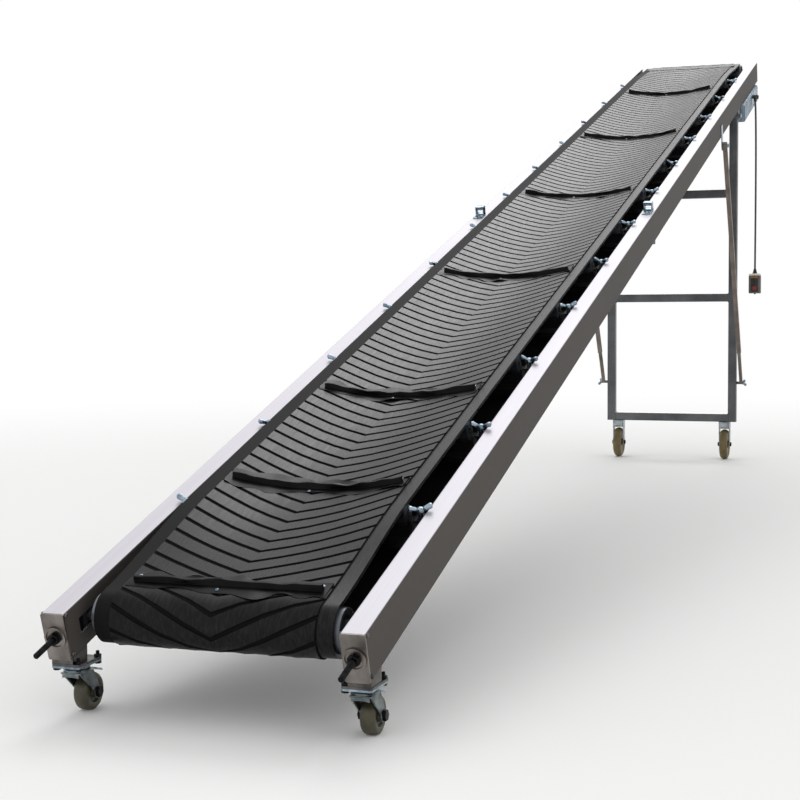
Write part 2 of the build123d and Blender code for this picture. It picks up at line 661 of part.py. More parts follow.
GLAND_Y, GLAND_Z = on_slope(RAIL_LENGTH - GLAND_BEFORE_END, -GLAND_DROP)
CORD_EXIT = (BOX_FACE + GLAND_REACH, GLAND_Y, GLAND_Z - GLAND_NOZZLE)
CORD_ROUTE = [
    CORD_EXIT,
    (CORD_EXIT[0] + CORD_SWAY, GLAND_Y, CORD_EXIT[2] - CORD_BEND_DROP),
    (CORD_EXIT[0] + CORD_SWAY / 2, GLAND_Y, CORD_EXIT[2] - CORD_LENGTH_DROP),
]


def cord_gland():
    """Elbow gland on the box's outer face, its nozzle pointing down."""
    x = CORD_EXIT[0]
    stub = bar_x(GLAND_RADIUS, BOX_FACE, x, GLAND_Y, GLAND_Z)
    elbow = bar_z(GLAND_RADIUS, x, GLAND_Y, GLAND_Z - GLAND_CAP, GLAND_Z + GLAND_CAP)
    length = GLAND_NOZZLE - GLAND_CAP
    nozzle = Pos(x, GLAND_Y, GLAND_Z - GLAND_CAP - length / 2) * Rot(180, 0, 0) * Cone(
        GLAND_RADIUS, CORD_DIAMETER / 2 + CORD_WALL, length)
    return stub + elbow + nozzle


def cord_radii(route):
    """Largest arc that the two runs at each inner point leave room for."""
    radii = []
    for before, here, after in zip(route, route[1:], route[2:]):
        run_in = Vector(*here) - Vector(*before)
        run_out = Vector(*after) - Vector(*here)
        turn = radians(run_in.get_angle(run_out))
        radii.append(0.45 * min(run_in.length, run_out.length) / tan(turn / 2))
    return radii


def pendant_cord():
    """Round cord that hangs from the gland to the pendant."""
    radii = cord_radii(CORD_ROUTE)
    print("cord radii", [round(radius) for radius in radii])
    path = FilletPolyline(*CORD_ROUTE, radius=radii)
    start = Vector(*CORD_ROUTE[1]) - Vector(*CORD_ROUTE[0])
    section = Plane(origin=CORD_ROUTE[0], z_dir=start) * Circle(CORD_DIAMETER / 2)
    tube = sweep(section, path=path)
    area = (Circle(CORD_DIAMETER / 2)).area
    print("cord length", round(path.length, 1), "volume over section", round(tube.volume / area, 1))
    return tube


PENDANT_TOP = CORD_ROUTE[-1][2] - BOOT_LENGTH
PENDANT_X = CORD_ROUTE[-1][0]


def pendant_switch():
    """Push-button box at the cord's end, with a tapered boot on top."""
    body = Pos(PENDANT_X, GLAND_Y, PENDANT_TOP - PENDANT_HEIGHT) * extrude(
        RectangleRounded(PENDANT_WIDTH, PENDANT_DEPTH, PENDANT_CORNER), PENDANT_HEIGHT)
    boot = Pos(PENDANT_X, GLAND_Y, PENDANT_TOP + BOOT_LENGTH / 2) * Cone(
        CORD_DIAMETER, CORD_DIAMETER / 2 + CORD_WALL, BOOT_LENGTH)
    return body + boot


def pendant_buttons():
    """Two round push buttons on the pendant's tail-side face."""
    front = GLAND_Y - PENDANT_DEPTH / 2
    middle = PENDANT_TOP - BUTTON_MIDDLE_DROP
    heights = [middle + step * BUTTON_SPACING / 2 for step in (-1, 1)]
    return joined(bar_y(BUTTON_RADIUS, PENDANT_X, front - BUTTON_PROUD, front, height)
                  for height in heights)


# Leg frame

LEG_MID_X = LEG_OUTER_X - LEG_TUBE / 2
LEG_INNER_X = LEG_OUTER_X - LEG_TUBE


def leg_post(side):
    """Upright of the leg frame, with the boss that spaces the brace from it."""
    hand = SIDES[side]
    post = Pos(hand * LEG_MID_X, LEG_Y, LEG_FOOT) * square_tube(
        LEG_TUBE, LEG_TUBE, LEG_WALL, LEG_CORNER, PIVOT_Z + POST_ABOVE_PIVOT - LEG_FOOT)
    post += bar_x(BRACE_ROD / 2, hand * (LEG_OUTER_X - LEG_WALL), hand * (BRACE_X - BRACE_ROD / 2 - SEAT),
                  LEG_Y, BRACE_EYE_Z)
    bore = PIVOT_RADIUS + RUNNING_GAP
    return post - bar_x(bore, hand * (LEG_INNER_X - CUT_PAST), hand * (LEG_OUTER_X + CUT_PAST),
                        LEG_Y, PIVOT_Z)


def leg_bar(bottom):
    """Cross bar between the two uprights."""
    return Pos(-LEG_INNER_X, LEG_Y, bottom + LEG_TUBE / 2) * Rot(0, 90, 0) * square_tube(
        LEG_TUBE, LEG_TUBE, LEG_WALL, LEG_CORNER, 2 * LEG_INNER_X)


def leg_bracket(side):
    """Two ears, one up a rail's inner face and one under it, and the pin that the leg frame swings on."""
    hand = SIDES[side]
    half = LEG_TUBE / 2
    inner_ear = RAIL_INNER - EAR_THICK
    outer_ear = LEG_OUTER_X + EAR_GAP
    ears = []
    for x, top in ((inner_ear, EAR_UP_RAIL - RAIL_HEIGHT), (outer_ear, -RAIL_HEIGHT)):
        ear = block(hand * x, hand * (x + EAR_THICK), PIVOT_ALONG - half, PIVOT_ALONG + half, PIVOT_OUT, top)
        ears.append(ear + bar_x(half, hand * x, hand * (x + EAR_THICK), PIVOT_ALONG, PIVOT_OUT))
    tip = outer_ear + EAR_THICK
    pin = bar_x(PIVOT_RADIUS, hand * inner_ear, hand * tip, PIVOT_ALONG, PIVOT_OUT)
    head = bar_x(PIVOT_HEAD_RADIUS, hand * tip, hand * (tip + PIVOT_HEAD_THICK), PIVOT_ALONG, PIVOT_OUT)
    return pin + head + ears


# Braces

def brace_lug(side):
    """Round-ended lug on a rail's outer face and the pin that carries the brace."""
    hand = SIDES[side]
    half = LUG_WIDTH / 2
    face = RAIL_OUTER + LUG_THICK
    plate = block(hand * RAIL_OUTER, hand * face, LUG_AT - half, LUG_AT + half, -LUG_DROP, -LUG_TOP_DROP)
    plate += bar_x(half, hand * RAIL_OUTER, hand * face, LUG_AT, -LUG_DROP)
    far = BRACE_X + BRACE_TUBE / 2 + SEAT
    pin = bar_x(BRACE_PIN_RADIUS, hand * RAIL_OUTER, hand * (far + LUG_THICK), LUG_AT, -LUG_DROP)
    washer = bar_x(LUG_WASHER_RADIUS, hand * far, hand * (far + LUG_THICK), LUG_AT, -LUG_DROP)
    return plate + pin + washer


def brace_tube(side):
    """Outer tube of the telescopic brace, open at its lower end."""
    x = SIDES[side] * BRACE_X
    hollow = BRACE_TUBE - 2 * BRACE_WALL
    tube = Pos(x, -BRACE_EYE_OVER, 0) * Rot(-90, 0, 0) * extrude(
        RectangleRounded(BRACE_TUBE, BRACE_TUBE, BRACE_CORNER), BRACE_TUBE_LENGTH + BRACE_EYE_OVER)
    tube -= block(x - hollow / 2, x + hollow / 2, BRACE_EYE_OVER, BRACE_TUBE_LENGTH, -hollow / 2, hollow / 2)
    return tube - bar_x(BRACE_PIN_RADIUS + RUNNING_GAP, x - BRACE_TUBE, x + BRACE_TUBE, 0, 0)


def brace_rod(side):
    """Inner rod of the telescopic brace, its eye over the boss on the leg post."""
    x = SIDES[side] * BRACE_X
    half = BRACE_ROD / 2
    rod = block(x - half, x + half, BRACE_EYE_OVER + SEAT, BRACE_LENGTH, -half, half)
    rod += bar_x(half, x - half, x + half, BRACE_LENGTH, 0)
    return rod - bar_x(BRACE_PIN_RADIUS + RUNNING_GAP, x - BRACE_ROD, x + BRACE_ROD, BRACE_LENGTH, 0)


def brace_wing_bolt(side):
    """Wing bolt through the rod's eye."""
    hand = SIDES[side]
    face = BRACE_X + BRACE_ROD / 2
    stud = bar_x(BRACE_PIN_RADIUS, hand * (face - BRACE_ROD), hand * face, BRACE_LENGTH, 0)
    hub = bar_x(WING_HUB_RADIUS, hand * face, hand * (face + WING_HUB_HEIGHT), BRACE_LENGTH, 0)
    wings = [Pos(hand * face, BRACE_LENGTH, 0) * Rot(0, hand * 90, 0) * Rot(0, 0, turn) * wing(WING_THICK)
             for turn in (0, 180)]
    return stud + hub + wings


# Casters and wheels

def wheel(x, y, radius, width, hub_radius, bevel):
    """Solid wheel: tread rounded in two bevels, recessed web and a hub that runs on the axle."""
    half = width / 2
    hub = half + WHEEL_SIDE_GAP - HUB_SIDE_GAP
    web = half - WEB_RECESS
    rim = radius - TYRE_DEPTH
    bore = AXLE_RADIUS + RUNNING_GAP
    corner = BEVEL_BREAK * bevel
    side = [(bore, hub), (hub_radius, hub), (hub_radius, web), (rim, web), (rim, half),
            (radius - bevel, half), (radius - corner, half - corner), (radius, half - bevel)]
    outline = side + [(r, -z) for r, z in reversed(side)]
    profile = make_face(Polyline(*[(r, 0, z) for r, z in outline], close=True))
    return Pos(x, y, radius) * Rot(0, 90, 0) * revolve(profile, Axis.Z)


def fork(x, y, top, trail, radius, width, race, apron):
    """Caster fork: crown with its front apron, two tapered cheeks with round ends, axle and nuts."""
    inner = width / 2 + WHEEL_SIDE_GAP
    outer = inner + FORK_THICK
    crown = top - race
    half_crown = RACE_RADIUS
    lean = atan2(trail, crown - radius)
    side = AXLE_END_RADIUS * cos(lean)
    rise = AXLE_END_RADIUS * sin(lean)
    cheek = [(y - half_crown, crown), (y + half_crown, crown), (y + half_crown, crown - FORK_THICK),
             (y + trail + side, radius + rise), (y + trail - side, radius - rise),
             (y - half_crown, crown - FORK_THICK)]
    solid = block(x - outer, x + outer, y - half_crown, y + half_crown, crown - FORK_THICK, crown)
    solid += block(x - inner, x + inner, y - half_crown, y - half_crown + FORK_THICK, crown - apron, crown)
    for hand in SIDES.values():
        solid += plate_yz(cheek, x + hand * inner, x + hand * outer)
        solid += bar_x(AXLE_END_RADIUS, x + hand * inner, x + hand * outer, y + trail, radius)
        solid += Pos(x + hand * (outer + AXLE_NUT_THICK / 2), y + trail, radius) * Rot(0, 90, 0) * hex_bar(
            2 * AXLE_NUT_RADIUS, AXLE_NUT_THICK)
    if race > 0:
        solid += bar_z(RACE_RADIUS, x, y, crown, top - race / 2)
        solid += bar_z(RACE_RADIUS - RACE_STEP, x, y, crown, top)
    return solid + bar_x(AXLE_RADIUS, x - outer, x + outer, y + trail, radius)


PLATE_UNDER = CASTER_HEIGHT - CASTER_PLATE_THICK


def caster_plate(side):
    """Top plate of a swivel caster."""
    return Pos(SIDES[side] * CASTER_X, CASTER_Y, PLATE_UNDER) * extrude(
        RectangleRounded(CASTER_PLATE_X, CASTER_PLATE_Y, CASTER_PLATE_CORNER), CASTER_PLATE_THICK)


def caster_fork(side):
    """Swivelling fork of a tail caster."""
    return fork(SIDES[side] * CASTER_X, CASTER_Y, PLATE_UNDER - SEAT, CASTER_TRAIL, FRONT_WHEEL_RADIUS,
                FRONT_WHEEL_WIDTH, RACE_HEIGHT, FRONT_APRON)


def brake_pedal(side):
    """Bent foot pedal behind a tail caster's fork."""
    x = SIDES[side] * CASTER_X
    crown = PLATE_UNDER - SEAT - RACE_HEIGHT
    root = CASTER_Y + RACE_RADIUS
    tip = CASTER_Y + PEDAL_REACH
    bend = (root + tip) / 2
    upper = [(root, crown), (bend, crown), (tip, crown - PEDAL_DROP)]
    lower = [(y, z - PEDAL_THICK) for y, z in reversed(upper)]
    return plate_yz(upper + lower, x - PEDAL_WIDTH / 2, x + PEDAL_WIDTH / 2)


def rear_fork(side):
    """Rigid fork under the leg frame's bottom bar."""
    return fork(SIDES[side] * REAR_WHEEL_X, LEG_Y, LEG_FOOT, 0, REAR_WHEEL_RADIUS, REAR_WHEEL_WIDTH, 0,
                REAR_APRON)


nodes = {}
HALVES = {"tail": (CAP_THICK, SEAM_AT - SEAM_GAP / 2), "head": (SEAM_AT + SEAM_GAP / 2, RAIL_LENGTH)}
for side, hand in SIDES.items():
    for half, (start, end) in HALVES.items():
        nodes[f"rail_{side}_{half}"] = SLOPE * rail(side, start, end)
    nodes[f"end_cap_{side}"] = SLOPE * end_cap(side)
    nodes[f"tail_post_{side}"] = tail_post(side)
    nodes[f"caster_plate_{side}"] = caster_plate(side)
    nodes[f"leg_bracket_{side}"] = SLOPE * leg_bracket(side)
    nodes[f"brace_lug_{side}"] = SLOPE * brace_lug(side)
    nodes[f"leg_post_{side}"] = leg_post(side)
    nodes[f"rear_fork_{side}"] = rear_fork(side)
    nodes[f"brace_tube_{side}"] = BRACE_LINE * brace_tube(side)
    nodes[f"brace_rod_{side}"] = BRACE_LINE * brace_rod(side)
    nodes[f"brace_wing_bolt_{side}"] = BRACE_LINE * brace_wing_bolt(side)
    nodes[f"caster_fork_{side}"] = caster_fork(side)
    nodes[f"brake_pedal_{side}"] = brake_pedal(side)
    nodes[f"front_wheel_{side}"] = wheel(hand * CASTER_X, CASTER_Y + CASTER_TRAIL, FRONT_WHEEL_RADIUS,
                                         FRONT_WHEEL_WIDTH, FRONT_HUB_RADIUS, FRONT_BEVEL)
    nodes[f"rear_wheel_{side}"] = wheel(hand * REAR_WHEEL_X, LEG_Y, REAR_WHEEL_RADIUS, REAR_WHEEL_WIDTH,
                                        REAR_HUB_RADIUS, REAR_BEVEL)
for name, bottom in BAR_BOTTOMS.items():
    nodes[f"leg_bar_{name}"] = leg_bar(bottom)
nodes["tension_screws"] = SLOPE * joined(tension_screw(side) for side in SIDES)
nodes["tail_bearings"] = SLOPE * joined(bearing_block(side, TAIL_DRUM_AT) for side in SIDES)
nodes["head_bearings"] = SLOPE * joined(bearing_block(side, HEAD_DRUM_AT) for side in SIDES)
nodes["tail_drum"] = SLOPE * drum(TAIL_DRUM_RADIUS, TAIL_DRUM_AT)
nodes["head_drum"] = SLOPE * drum(HEAD_DRUM_RADIUS, HEAD_DRUM_AT)
nodes["belt"] = SLOPE * belt()
nodes["idler_brackets"] = SLOPE * joined(idler_bracket(along) for along in IDLER_STATIONS)
nodes["idler_rollers"] = SLOPE * joined(piece for along in IDLER_STATIONS for piece in idler_rollers(along))
nodes["wing_bolts"] = SLOPE * joined(wing_bolt(side, along) for side in SIDES for along in IDLER_STATIONS)
nodes["return_rollers"] = SLOPE * joined(return_roller(along) for along in RETURN_STATIONS)
nodes["return_plates"] = SLOPE * joined(return_plate(side, along)
                                        for side in SIDES for along in RETURN_STATIONS)
nodes["fold_latches"] = SLOPE * joined(fold_latch(side) for side in SIDES)
nodes["splice_hinges"] = SLOPE * joined(splice_hinge(side) for side in SIDES)
nodes["control_box"] = SLOPE * control_box()
nodes["cord_gland"] = cord_gland()
nodes["pendant_cord"] = pendant_cord()
nodes["pendant_switch"] = pendant_switch()
nodes["pendant_buttons"] = pendant_buttons()

# The origin is on the floor, midway between the tension screws' tips and the head end.
ON_CORD = ("pendant_cord", "pendant_switch", "pendant_buttons", "cord_gland")
machine = [shape.bounding_box() for name, shape in nodes.items() if name not in ON_CORD]
low = min(box.min.Y for box in machine)
high = max(box.max.Y for box in machine)
ORIGIN_Y = (low + high) / 2
os.makedirs("parts", exist_ok=True)
for name, shape in nodes.items():
    export_step(Pos(0, -ORIGIN_Y, 0) * shape, f"parts/{name}.step")

# Places of the joints and of the cord, in the machine's own frame, for whoever assembles it
PLACES = (
    ("leg pivot", LEG_Y, PIVOT_Z),
    ("brace lug", LUG_Y, LUG_Z),
    ("brace eye", LEG_Y, BRACE_EYE_Z),
    ("caster swivel", CASTER_Y, PLATE_UNDER),
    ("front axle", CASTER_Y + CASTER_TRAIL, FRONT_WHEEL_RADIUS),
    ("rear axle", LEG_Y, REAR_WHEEL_RADIUS),
)
print("origin y", round(ORIGIN_Y, 3))
for label, y, z in PLACES:
    print(label, "y", round(y - ORIGIN_Y, 4), "z", round(z, 4))
print("brace angle", round(BRACE_ANGLE, 4), "length", round(BRACE_LENGTH, 3))
print("cord route", [(round(x, 3), round(y - ORIGIN_Y, 3), round(z, 3)) for x, y, z in CORD_ROUTE])
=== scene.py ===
from math import cos, pi, radians, sin

import bpy
from mathutils import Matrix, Vector, noise


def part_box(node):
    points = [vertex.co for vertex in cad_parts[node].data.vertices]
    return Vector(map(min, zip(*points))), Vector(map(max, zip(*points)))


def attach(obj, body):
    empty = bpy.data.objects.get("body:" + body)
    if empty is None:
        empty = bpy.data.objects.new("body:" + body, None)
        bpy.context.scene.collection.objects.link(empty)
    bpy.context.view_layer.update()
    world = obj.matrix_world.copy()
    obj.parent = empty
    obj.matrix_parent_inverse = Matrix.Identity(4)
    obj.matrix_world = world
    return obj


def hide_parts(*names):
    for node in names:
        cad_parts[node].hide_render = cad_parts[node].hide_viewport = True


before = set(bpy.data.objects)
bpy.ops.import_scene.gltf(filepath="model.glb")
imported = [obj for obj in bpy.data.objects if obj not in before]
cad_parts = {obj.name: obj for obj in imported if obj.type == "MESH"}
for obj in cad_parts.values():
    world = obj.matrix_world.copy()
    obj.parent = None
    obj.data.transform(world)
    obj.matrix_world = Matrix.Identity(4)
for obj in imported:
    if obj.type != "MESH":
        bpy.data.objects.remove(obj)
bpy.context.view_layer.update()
scene = bpy.context.scene
scene.view_settings.view_transform = "Standard"

# Sizes and places of the conveyor, in metres, as in the part's source
INCLINE = radians(16.9)
TAIL_TOP = 0.215
ORIGIN_Y = 3.046375
RAIL_WIDTH = 0.05
RAIL_MID = 0.31
TAIL_DRUM_AT = 0.1
HEAD_DRUM_AT = 6.334
DRUM_DROP = 0.05
TAIL_BELT_RADIUS = 0.0568
HEAD_BELT_RADIUS = 0.0623
IDLER_FIRST = 0.53
IDLER_PITCH = 0.48
IDLER_COUNT = 12
TROUGH_END = IDLER_FIRST + IDLER_PITCH * (IDLER_COUNT - 1)
TROUGH_FLAT = 0.17
TROUGH_RISE = 0.032
BELT_WIDTH = 0.5
BELT_THICK = 0.012
CORD_DIAMETER = 0.01
LEG_Y = 2.343456
LEG_TUBE = 0.04
LEG_BARS = (0.189, 0.793, 1.311)
LEG_PIVOT_Z = 1.714598
BRACE_PIN_Y = 1.6862463
BRACE_PIN_Z = 1.5076065
BRACE_EYE_X = 0.3563
BRACE_EYE_Z = 0.386
WING_BOLT_X = 0.273

# Rail axes: x across, y along the rails from their tail end faces, z out of their top faces
RAIL_AXES = Matrix.Translation((0, -ORIGIN_Y, TAIL_TOP)) @ Matrix.Rotation(INCLINE, 4, "X")


# Camera, floor and light

def photo_camera():
    """Camera at the photograph's place: near the low end, right of the belt, a little above its tail."""
    lens = bpy.data.cameras.new("photo_view")
    lens.lens = 70.7
    lens.sensor_width = 36
    camera = bpy.data.objects.new("photo_view", lens)
    scene.collection.objects.link(camera)
    place = Matrix.Translation((1.310, -5.656, 0.816))
    look = Matrix.Rotation(radians(19.12), 4, "Z") @ Matrix.Rotation(radians(86.34), 4, "X")
    roll = Matrix.Rotation(radians(-0.44), 4, "Z")
    camera.matrix_world = place @ look @ roll
    scene.camera = camera


def srgb(code):
    """Linear colour of an sRGB hex value."""
    parts = [int(code[i:i + 2], 16) / 255 for i in (1, 3, 5)]
    return (*[p / 12.92 if p <= 0.04045 else ((p + 0.055) / 1.055) ** 2.4 for p in parts], 1.0)


def feed(tree, node, inputs):
    """Sets the inputs of a shader node, or links them where they are given as outputs of other nodes."""
    for key, value in inputs.items():
        if isinstance(value, bpy.types.NodeSocket):
            tree.links.new(value, node.inputs[key])
        else:
            node.inputs[key].default_value = value


def add(tree, kind, inputs=None, **settings):
    """Adds one shader node with its settings and inputs."""
    made = tree.nodes.new("ShaderNode" + kind)
    for key, value in settings.items():
        setattr(made, key, value)
    feed(tree, made, inputs or {})
    return made


def blank(name):
    """New material with a bare principled shader, and the object coordinates that its patterns read."""
    material = bpy.data.materials.new(name)
    material.use_nodes = True
    tree = material.node_tree
    tree.nodes.clear()
    shader = add(tree, "BsdfPrincipled")
    add(tree, "OutputMaterial", {"Surface": shader.outputs[0]})
    return material, tree, shader, add(tree, "TexCoord").outputs


def studio():
    """White surroundings, an even dome of light and one wide soft lamp behind the head."""
    world = bpy.data.worlds.new("studio")
    scene.world = world
    world.use_nodes = True
    tree = world.node_tree
    tree.nodes.clear()
    ray = add(tree, "LightPath").outputs
    seen = add(tree, "Math", {0: ray["Is Camera Ray"], 1: ray["Is Glossy Ray"]}, operation="MAXIMUM")
    seen = add(tree, "Math", {0: seen.outputs[0], 1: ray["Is Transmission Ray"]}, operation="MAXIMUM")
    dome = add(tree, "Background", {"Color": srgb("#FFFFFF"), "Strength": 0.86})
    white = add(tree, "Background", {"Color": srgb("#FFFFFF"), "Strength": 1.0})
    both = add(tree, "MixShader", {0: seen.outputs[0], 1: dome.outputs[0], 2: white.outputs[0]})
    add(tree, "OutputWorld", {"Surface": both.outputs[0]})
    lamp = bpy.data.lights.new("soft_lamp", "SUN")
    lamp.energy = 0.56
    lamp.angle = radians(26)
    sun = bpy.data.objects.new("soft_lamp", lamp)
    sun.rotation_euler = Vector((-0.15, 0.71, 0.69)).to_track_quat("Z", "Y").to_euler()
    scene.collection.objects.link(sun)


def pale_floor():
    """Matt pale floor that fades to white away from the machine."""
    bpy.ops.object.select_all(action="DESELECT")
    bpy.ops.mesh.primitive_plane_add(size=240, location=(0, 0, 0))
    floor = bpy.context.object
    floor.name = "floor"
    material, tree, shader, spot = blank("pale_studio_floor")
    feed(tree, shader, {"Base Color": srgb("#F6F6F5"), "Roughness": 0.9, "Specular IOR Level": 0.1})
    reach = add(tree, "VectorMath", {0: spot["Object"]}, operation="LENGTH").outputs["Value"]
    far = add(tree, "MapRange", {"Value": reach, "From Min": 2.5, "From Max": 8.0},
              interpolation_type="SMOOTHSTEP")
    seen = add(tree, "Math", {0: far.outputs[0], 1: add(tree, "LightPath").outputs["Is Camera Ray"]},
               operation="MULTIPLY")
    white = add(tree, "Emission", {"Color": srgb("#FFFFFF"), "Strength": 1.0})
    mixed = add(tree, "MixShader", {0: seen.outputs[0], 1: shader.outputs[0], 2: white.outputs[0]})
    feed(tree, tree.nodes["Material Output"], {"Surface": mixed.outputs[0]})
    floor.data.materials.append(material)


# Finishes

def galvanised_rail():
    """Galvanised steel tube, drawn along its length.

    Tops are a pale satin; upright faces are painted in shade, a warm dark grey, and are less metallic and
    rougher.
    """
    material, tree, shader, spot = blank("galvanised_steel_rail")
    level = add(tree, "Mapping", {"Vector": spot["Object"], "Rotation": (-INCLINE, 0, 0)})
    # Drawing streaks about 6 mm wide and 0.4 m long, coarser than the real ones so that they show
    drawn = add(tree, "Mapping", {"Vector": level.outputs[0], "Scale": (160, 2.5, 160)})
    streak = add(tree, "TexNoise", {"Vector": drawn.outputs[0], "Scale": 1.0, "Detail": 4.0}).outputs["Fac"]
    # Zinc spangle, crystals of about 12 mm
    spangle = add(tree, "TexVoronoi", {"Vector": spot["Object"], "Scale": 80.0}).outputs["Color"]
    grain = add(tree, "RGBToBW", {"Color": spangle}).outputs[0]
    # Clouds about 0.45 m across in the painted shade of the upright faces
    cloud = add(tree, "TexNoise", {"Vector": spot["Object"], "Scale": 2.2, "Detail": 5.0}).outputs["Fac"]
    top = add(tree, "Mix", {0: streak, 6: srgb("#BFBCC3"), 7: srgb("#D3D2D6")}, data_type="RGBA").outputs[2]
    # Painted shade: the warm dark grey given to faces turned to the sides
    painted_side_shade = add(tree, "Mix", {0: cloud, 6: srgb("#433F3C"), 7: srgb("#4E4A47")}, data_type="RGBA").outputs[2]
    painted_side_shade = add(tree, "Mix", {0: grain, 6: painted_side_shade, 7: srgb("#4B4744")}, data_type="RGBA").outputs[2]
    # Faces turned to the sides take the painted shade in place of the pale top
    across = add(tree, "SeparateXYZ", {0: spot["Normal"]}).outputs["X"]
    upright = add(tree, "Math", {0: across}, operation="ABSOLUTE").outputs[0]
    upright = add(tree, "MapRange", {"Value": upright, "From Min": 0.45, "From Max": 0.85}).outputs[0]
    colour = add(tree, "Mix", {0: upright, 6: top, 7: painted_side_shade}, data_type="RGBA").outputs[2]
    rough = add(tree, "MapRange", {"Value": streak, "To Min": 0.5, "To Max": 0.66}).outputs[0]
    rough = add(tree, "Mix", {0: upright, 2: rough, 3: 0.66}).outputs[0]
    metal = add(tree, "MapRange", {"Value": upright, "To Min": 1.0, "To Max": 0.15}).outputs[0]
    rub = add(tree, "Bump", {"Height": streak, "Strength": 0.08, "Distance": 0.001}).outputs[0]
    feed(tree, shader, {"Base Color": colour, "Roughness": rough, "Normal": rub, "Metallic": metal,
                        "Specular IOR Level": 0.2})
    return material


def bare_metal(name, light, dark, rough, grit, lines, painted_top_highlight=None):
    """Metal with brush lines over soft blotches between two tones; faces turned up may get a painted
    highlight, a pale tone of their own.

    Grit and lines are waves in a metre, so 20 gives blotches of 50 mm and 500 gives lines of 2 mm.
    """
    material, tree, shader, spot = blank(name)
    drawn = add(tree, "Mapping", {"Vector": spot["Object"], "Scale": lines})
    brush = add(tree, "TexNoise", {"Vector": drawn.outputs[0], "Scale": 1.0, "Detail": 5.0}).outputs["Fac"]
    blotch = add(tree, "TexNoise", {"Vector": spot["Object"], "Scale": grit, "Detail": 6.0}).outputs["Fac"]
    spread = add(tree, "MapRange", {"Value": blotch, "From Min": 0.35, "From Max": 0.65}).outputs[0]
    tone = add(tree, "Mix", {0: spread, 6: srgb(dark), 7: srgb(light)}, data_type="RGBA").outputs[2]
    fine = add(tree, "MapRange", {"Value": brush, "To Min": 0.82, "To Max": 1.12}).outputs[0]
    tone = add(tree, "VectorMath", {0: tone, 1: fine}, operation="MULTIPLY").outputs[0]
    if painted_top_highlight:
        # Painted highlight: faces turned up blend towards the given pale tone
        rise = add(tree, "SeparateXYZ", {0: spot["Normal"]}).outputs["Z"]
        level = add(tree, "MapRange", {"Value": rise, "From Min": 0.6, "From Max": 0.9}).outputs[0]
        tone = add(tree, "Mix", {0: level, 6: tone, 7: srgb(painted_top_highlight)}, data_type="RGBA").outputs[2]
    shine = add(tree, "MapRange", {"Value": brush, "To Min": rough - 0.08, "To Max": rough + 0.08}).outputs[0]
    rub = add(tree, "Bump", {"Height": brush, "Strength": 0.12, "Distance": 0.0008}).outputs[0]
    feed(tree, shader, {"Base Color": tone, "Roughness": shine, "Normal": rub, "Metallic": 1.0})
    return material


def belt_rubber():
    """Moulded black rubber: scuffed satin rib tops that shine at a low angle, and matt grooves."""
    material, tree, shader, spot = blank("black_moulded_rubber")
    level = add(tree, "Mapping", {"Vector": spot["Object"], "Rotation": (-INCLINE, 0, 0)})
    top = add(tree, "Attribute", attribute_name="rib_top").outputs["Fac"]
    # Scuffs about 4 mm wide and 50 mm long, dragged along the belt
    drag = add(tree, "Mapping", {"Vector": level.outputs[0], "Scale": (240, 20, 60)})
    scuff = add(tree, "TexNoise", {"Vector": drag.outputs[0], "Scale": 1.0, "Detail": 6.0}).outputs["Fac"]
    worn = add(tree, "MapRange", {"Value": scuff, "From Min": 0.42, "From Max": 0.72}).outputs[0]
    # Rubbed patches about 150 mm across
    patch = add(tree, "TexNoise", {"Vector": spot["Object"], "Scale": 7.0, "Detail": 4.0}).outputs["Fac"]
    worn = add(tree, "Math", {0: worn, 1: patch}, operation="MULTIPLY").outputs[0]
    colour = add(tree, "Mix", {0: worn, 6: srgb("#060607"), 7: srgb("#2A2A2B")}, data_type="RGBA").outputs[2]
    colour = add(tree, "Mix", {0: top, 6: srgb("#050506"), 7: colour}, data_type="RGBA").outputs[2]
    # Mould grain of about 1.5 mm
    grain = add(tree, "TexNoise", {"Vector": spot["Object"], "Scale": 650.0, "Detail": 2.0}).outputs["Fac"]
    rough = add(tree, "MapRange", {"Value": scuff, "From Min": 0.3, "From Max": 0.7,
                                   "To Min": 0.25, "To Max": 0.36})
    rough = add(tree, "Mix", {0: top, 2: 0.85, 3: rough.outputs[0]}).outputs[0]
    rub = add(tree, "Bump", {"Height": grain, "Strength": 0.12, "Distance": 0.0006}).outputs[0]
    feed(tree, shader, {"Base Color": colour, "Roughness": rough, "Normal": rub, "Specular IOR Level": 0.16})
    return material


def moulded(name, light, dark, rough, speck, specular=0.5):
    """Moulded rubber or plastic: soft cloudy colour and a fine mould grain, speck metres in size."""
    material, tree, shader, spot = blank(name)
    # Clouds about 33 mm across
    cloud = add(tree, "TexNoise", {"Vector": spot["Object"], "Scale": 30.0, "Detail": 5.0}).outputs["Fac"]
    spread = add(tree, "MapRange", {"Value": cloud, "From Min": 0.3, "From Max": 0.7}).outputs[0]
    colour = add(tree, "Mix", {0: spread, 6: srgb(dark), 7: srgb(light)}, data_type="RGBA").outputs[2]
    fine = {"Vector": spot["Object"], "Scale": 1 / speck, "Detail": 2.0}
    grain = add(tree, "TexNoise", fine).outputs["Fac"]
    shine = add(tree, "MapRange", {"Value": cloud, "To Min": rough - 0.06, "To Max": rough + 0.1}).outputs[0]
    rub = add(tree, "Bump", {"Height": grain, "Strength": 0.15, "Distance": 0.0004}).outputs[0]
    feed(tree, shader, {"Base Color": colour, "Roughness": shine, "Normal": rub,
                        "Specular IOR Level": specular})
    return material


photo_camera()
studio()
pale_floor()
RAIL_STEEL = galvanised_rail()
# Rail end caps: warm grey steel with fine brush lines
CAP_STEEL = bare_metal("brushed_cap_steel", "#918B86", "#6B6662", 0.34, 22, (420, 60, 30))
# Tail posts and cap screws: dark blotched zinc, the screws' own colour; on the tail posts the dark tone is
# painted shade under the caps
POST_STEEL = bare_metal("dark_and_shaded_zinc", "#6A6866", "#454442", 0.4, 30, (200, 200, 200))
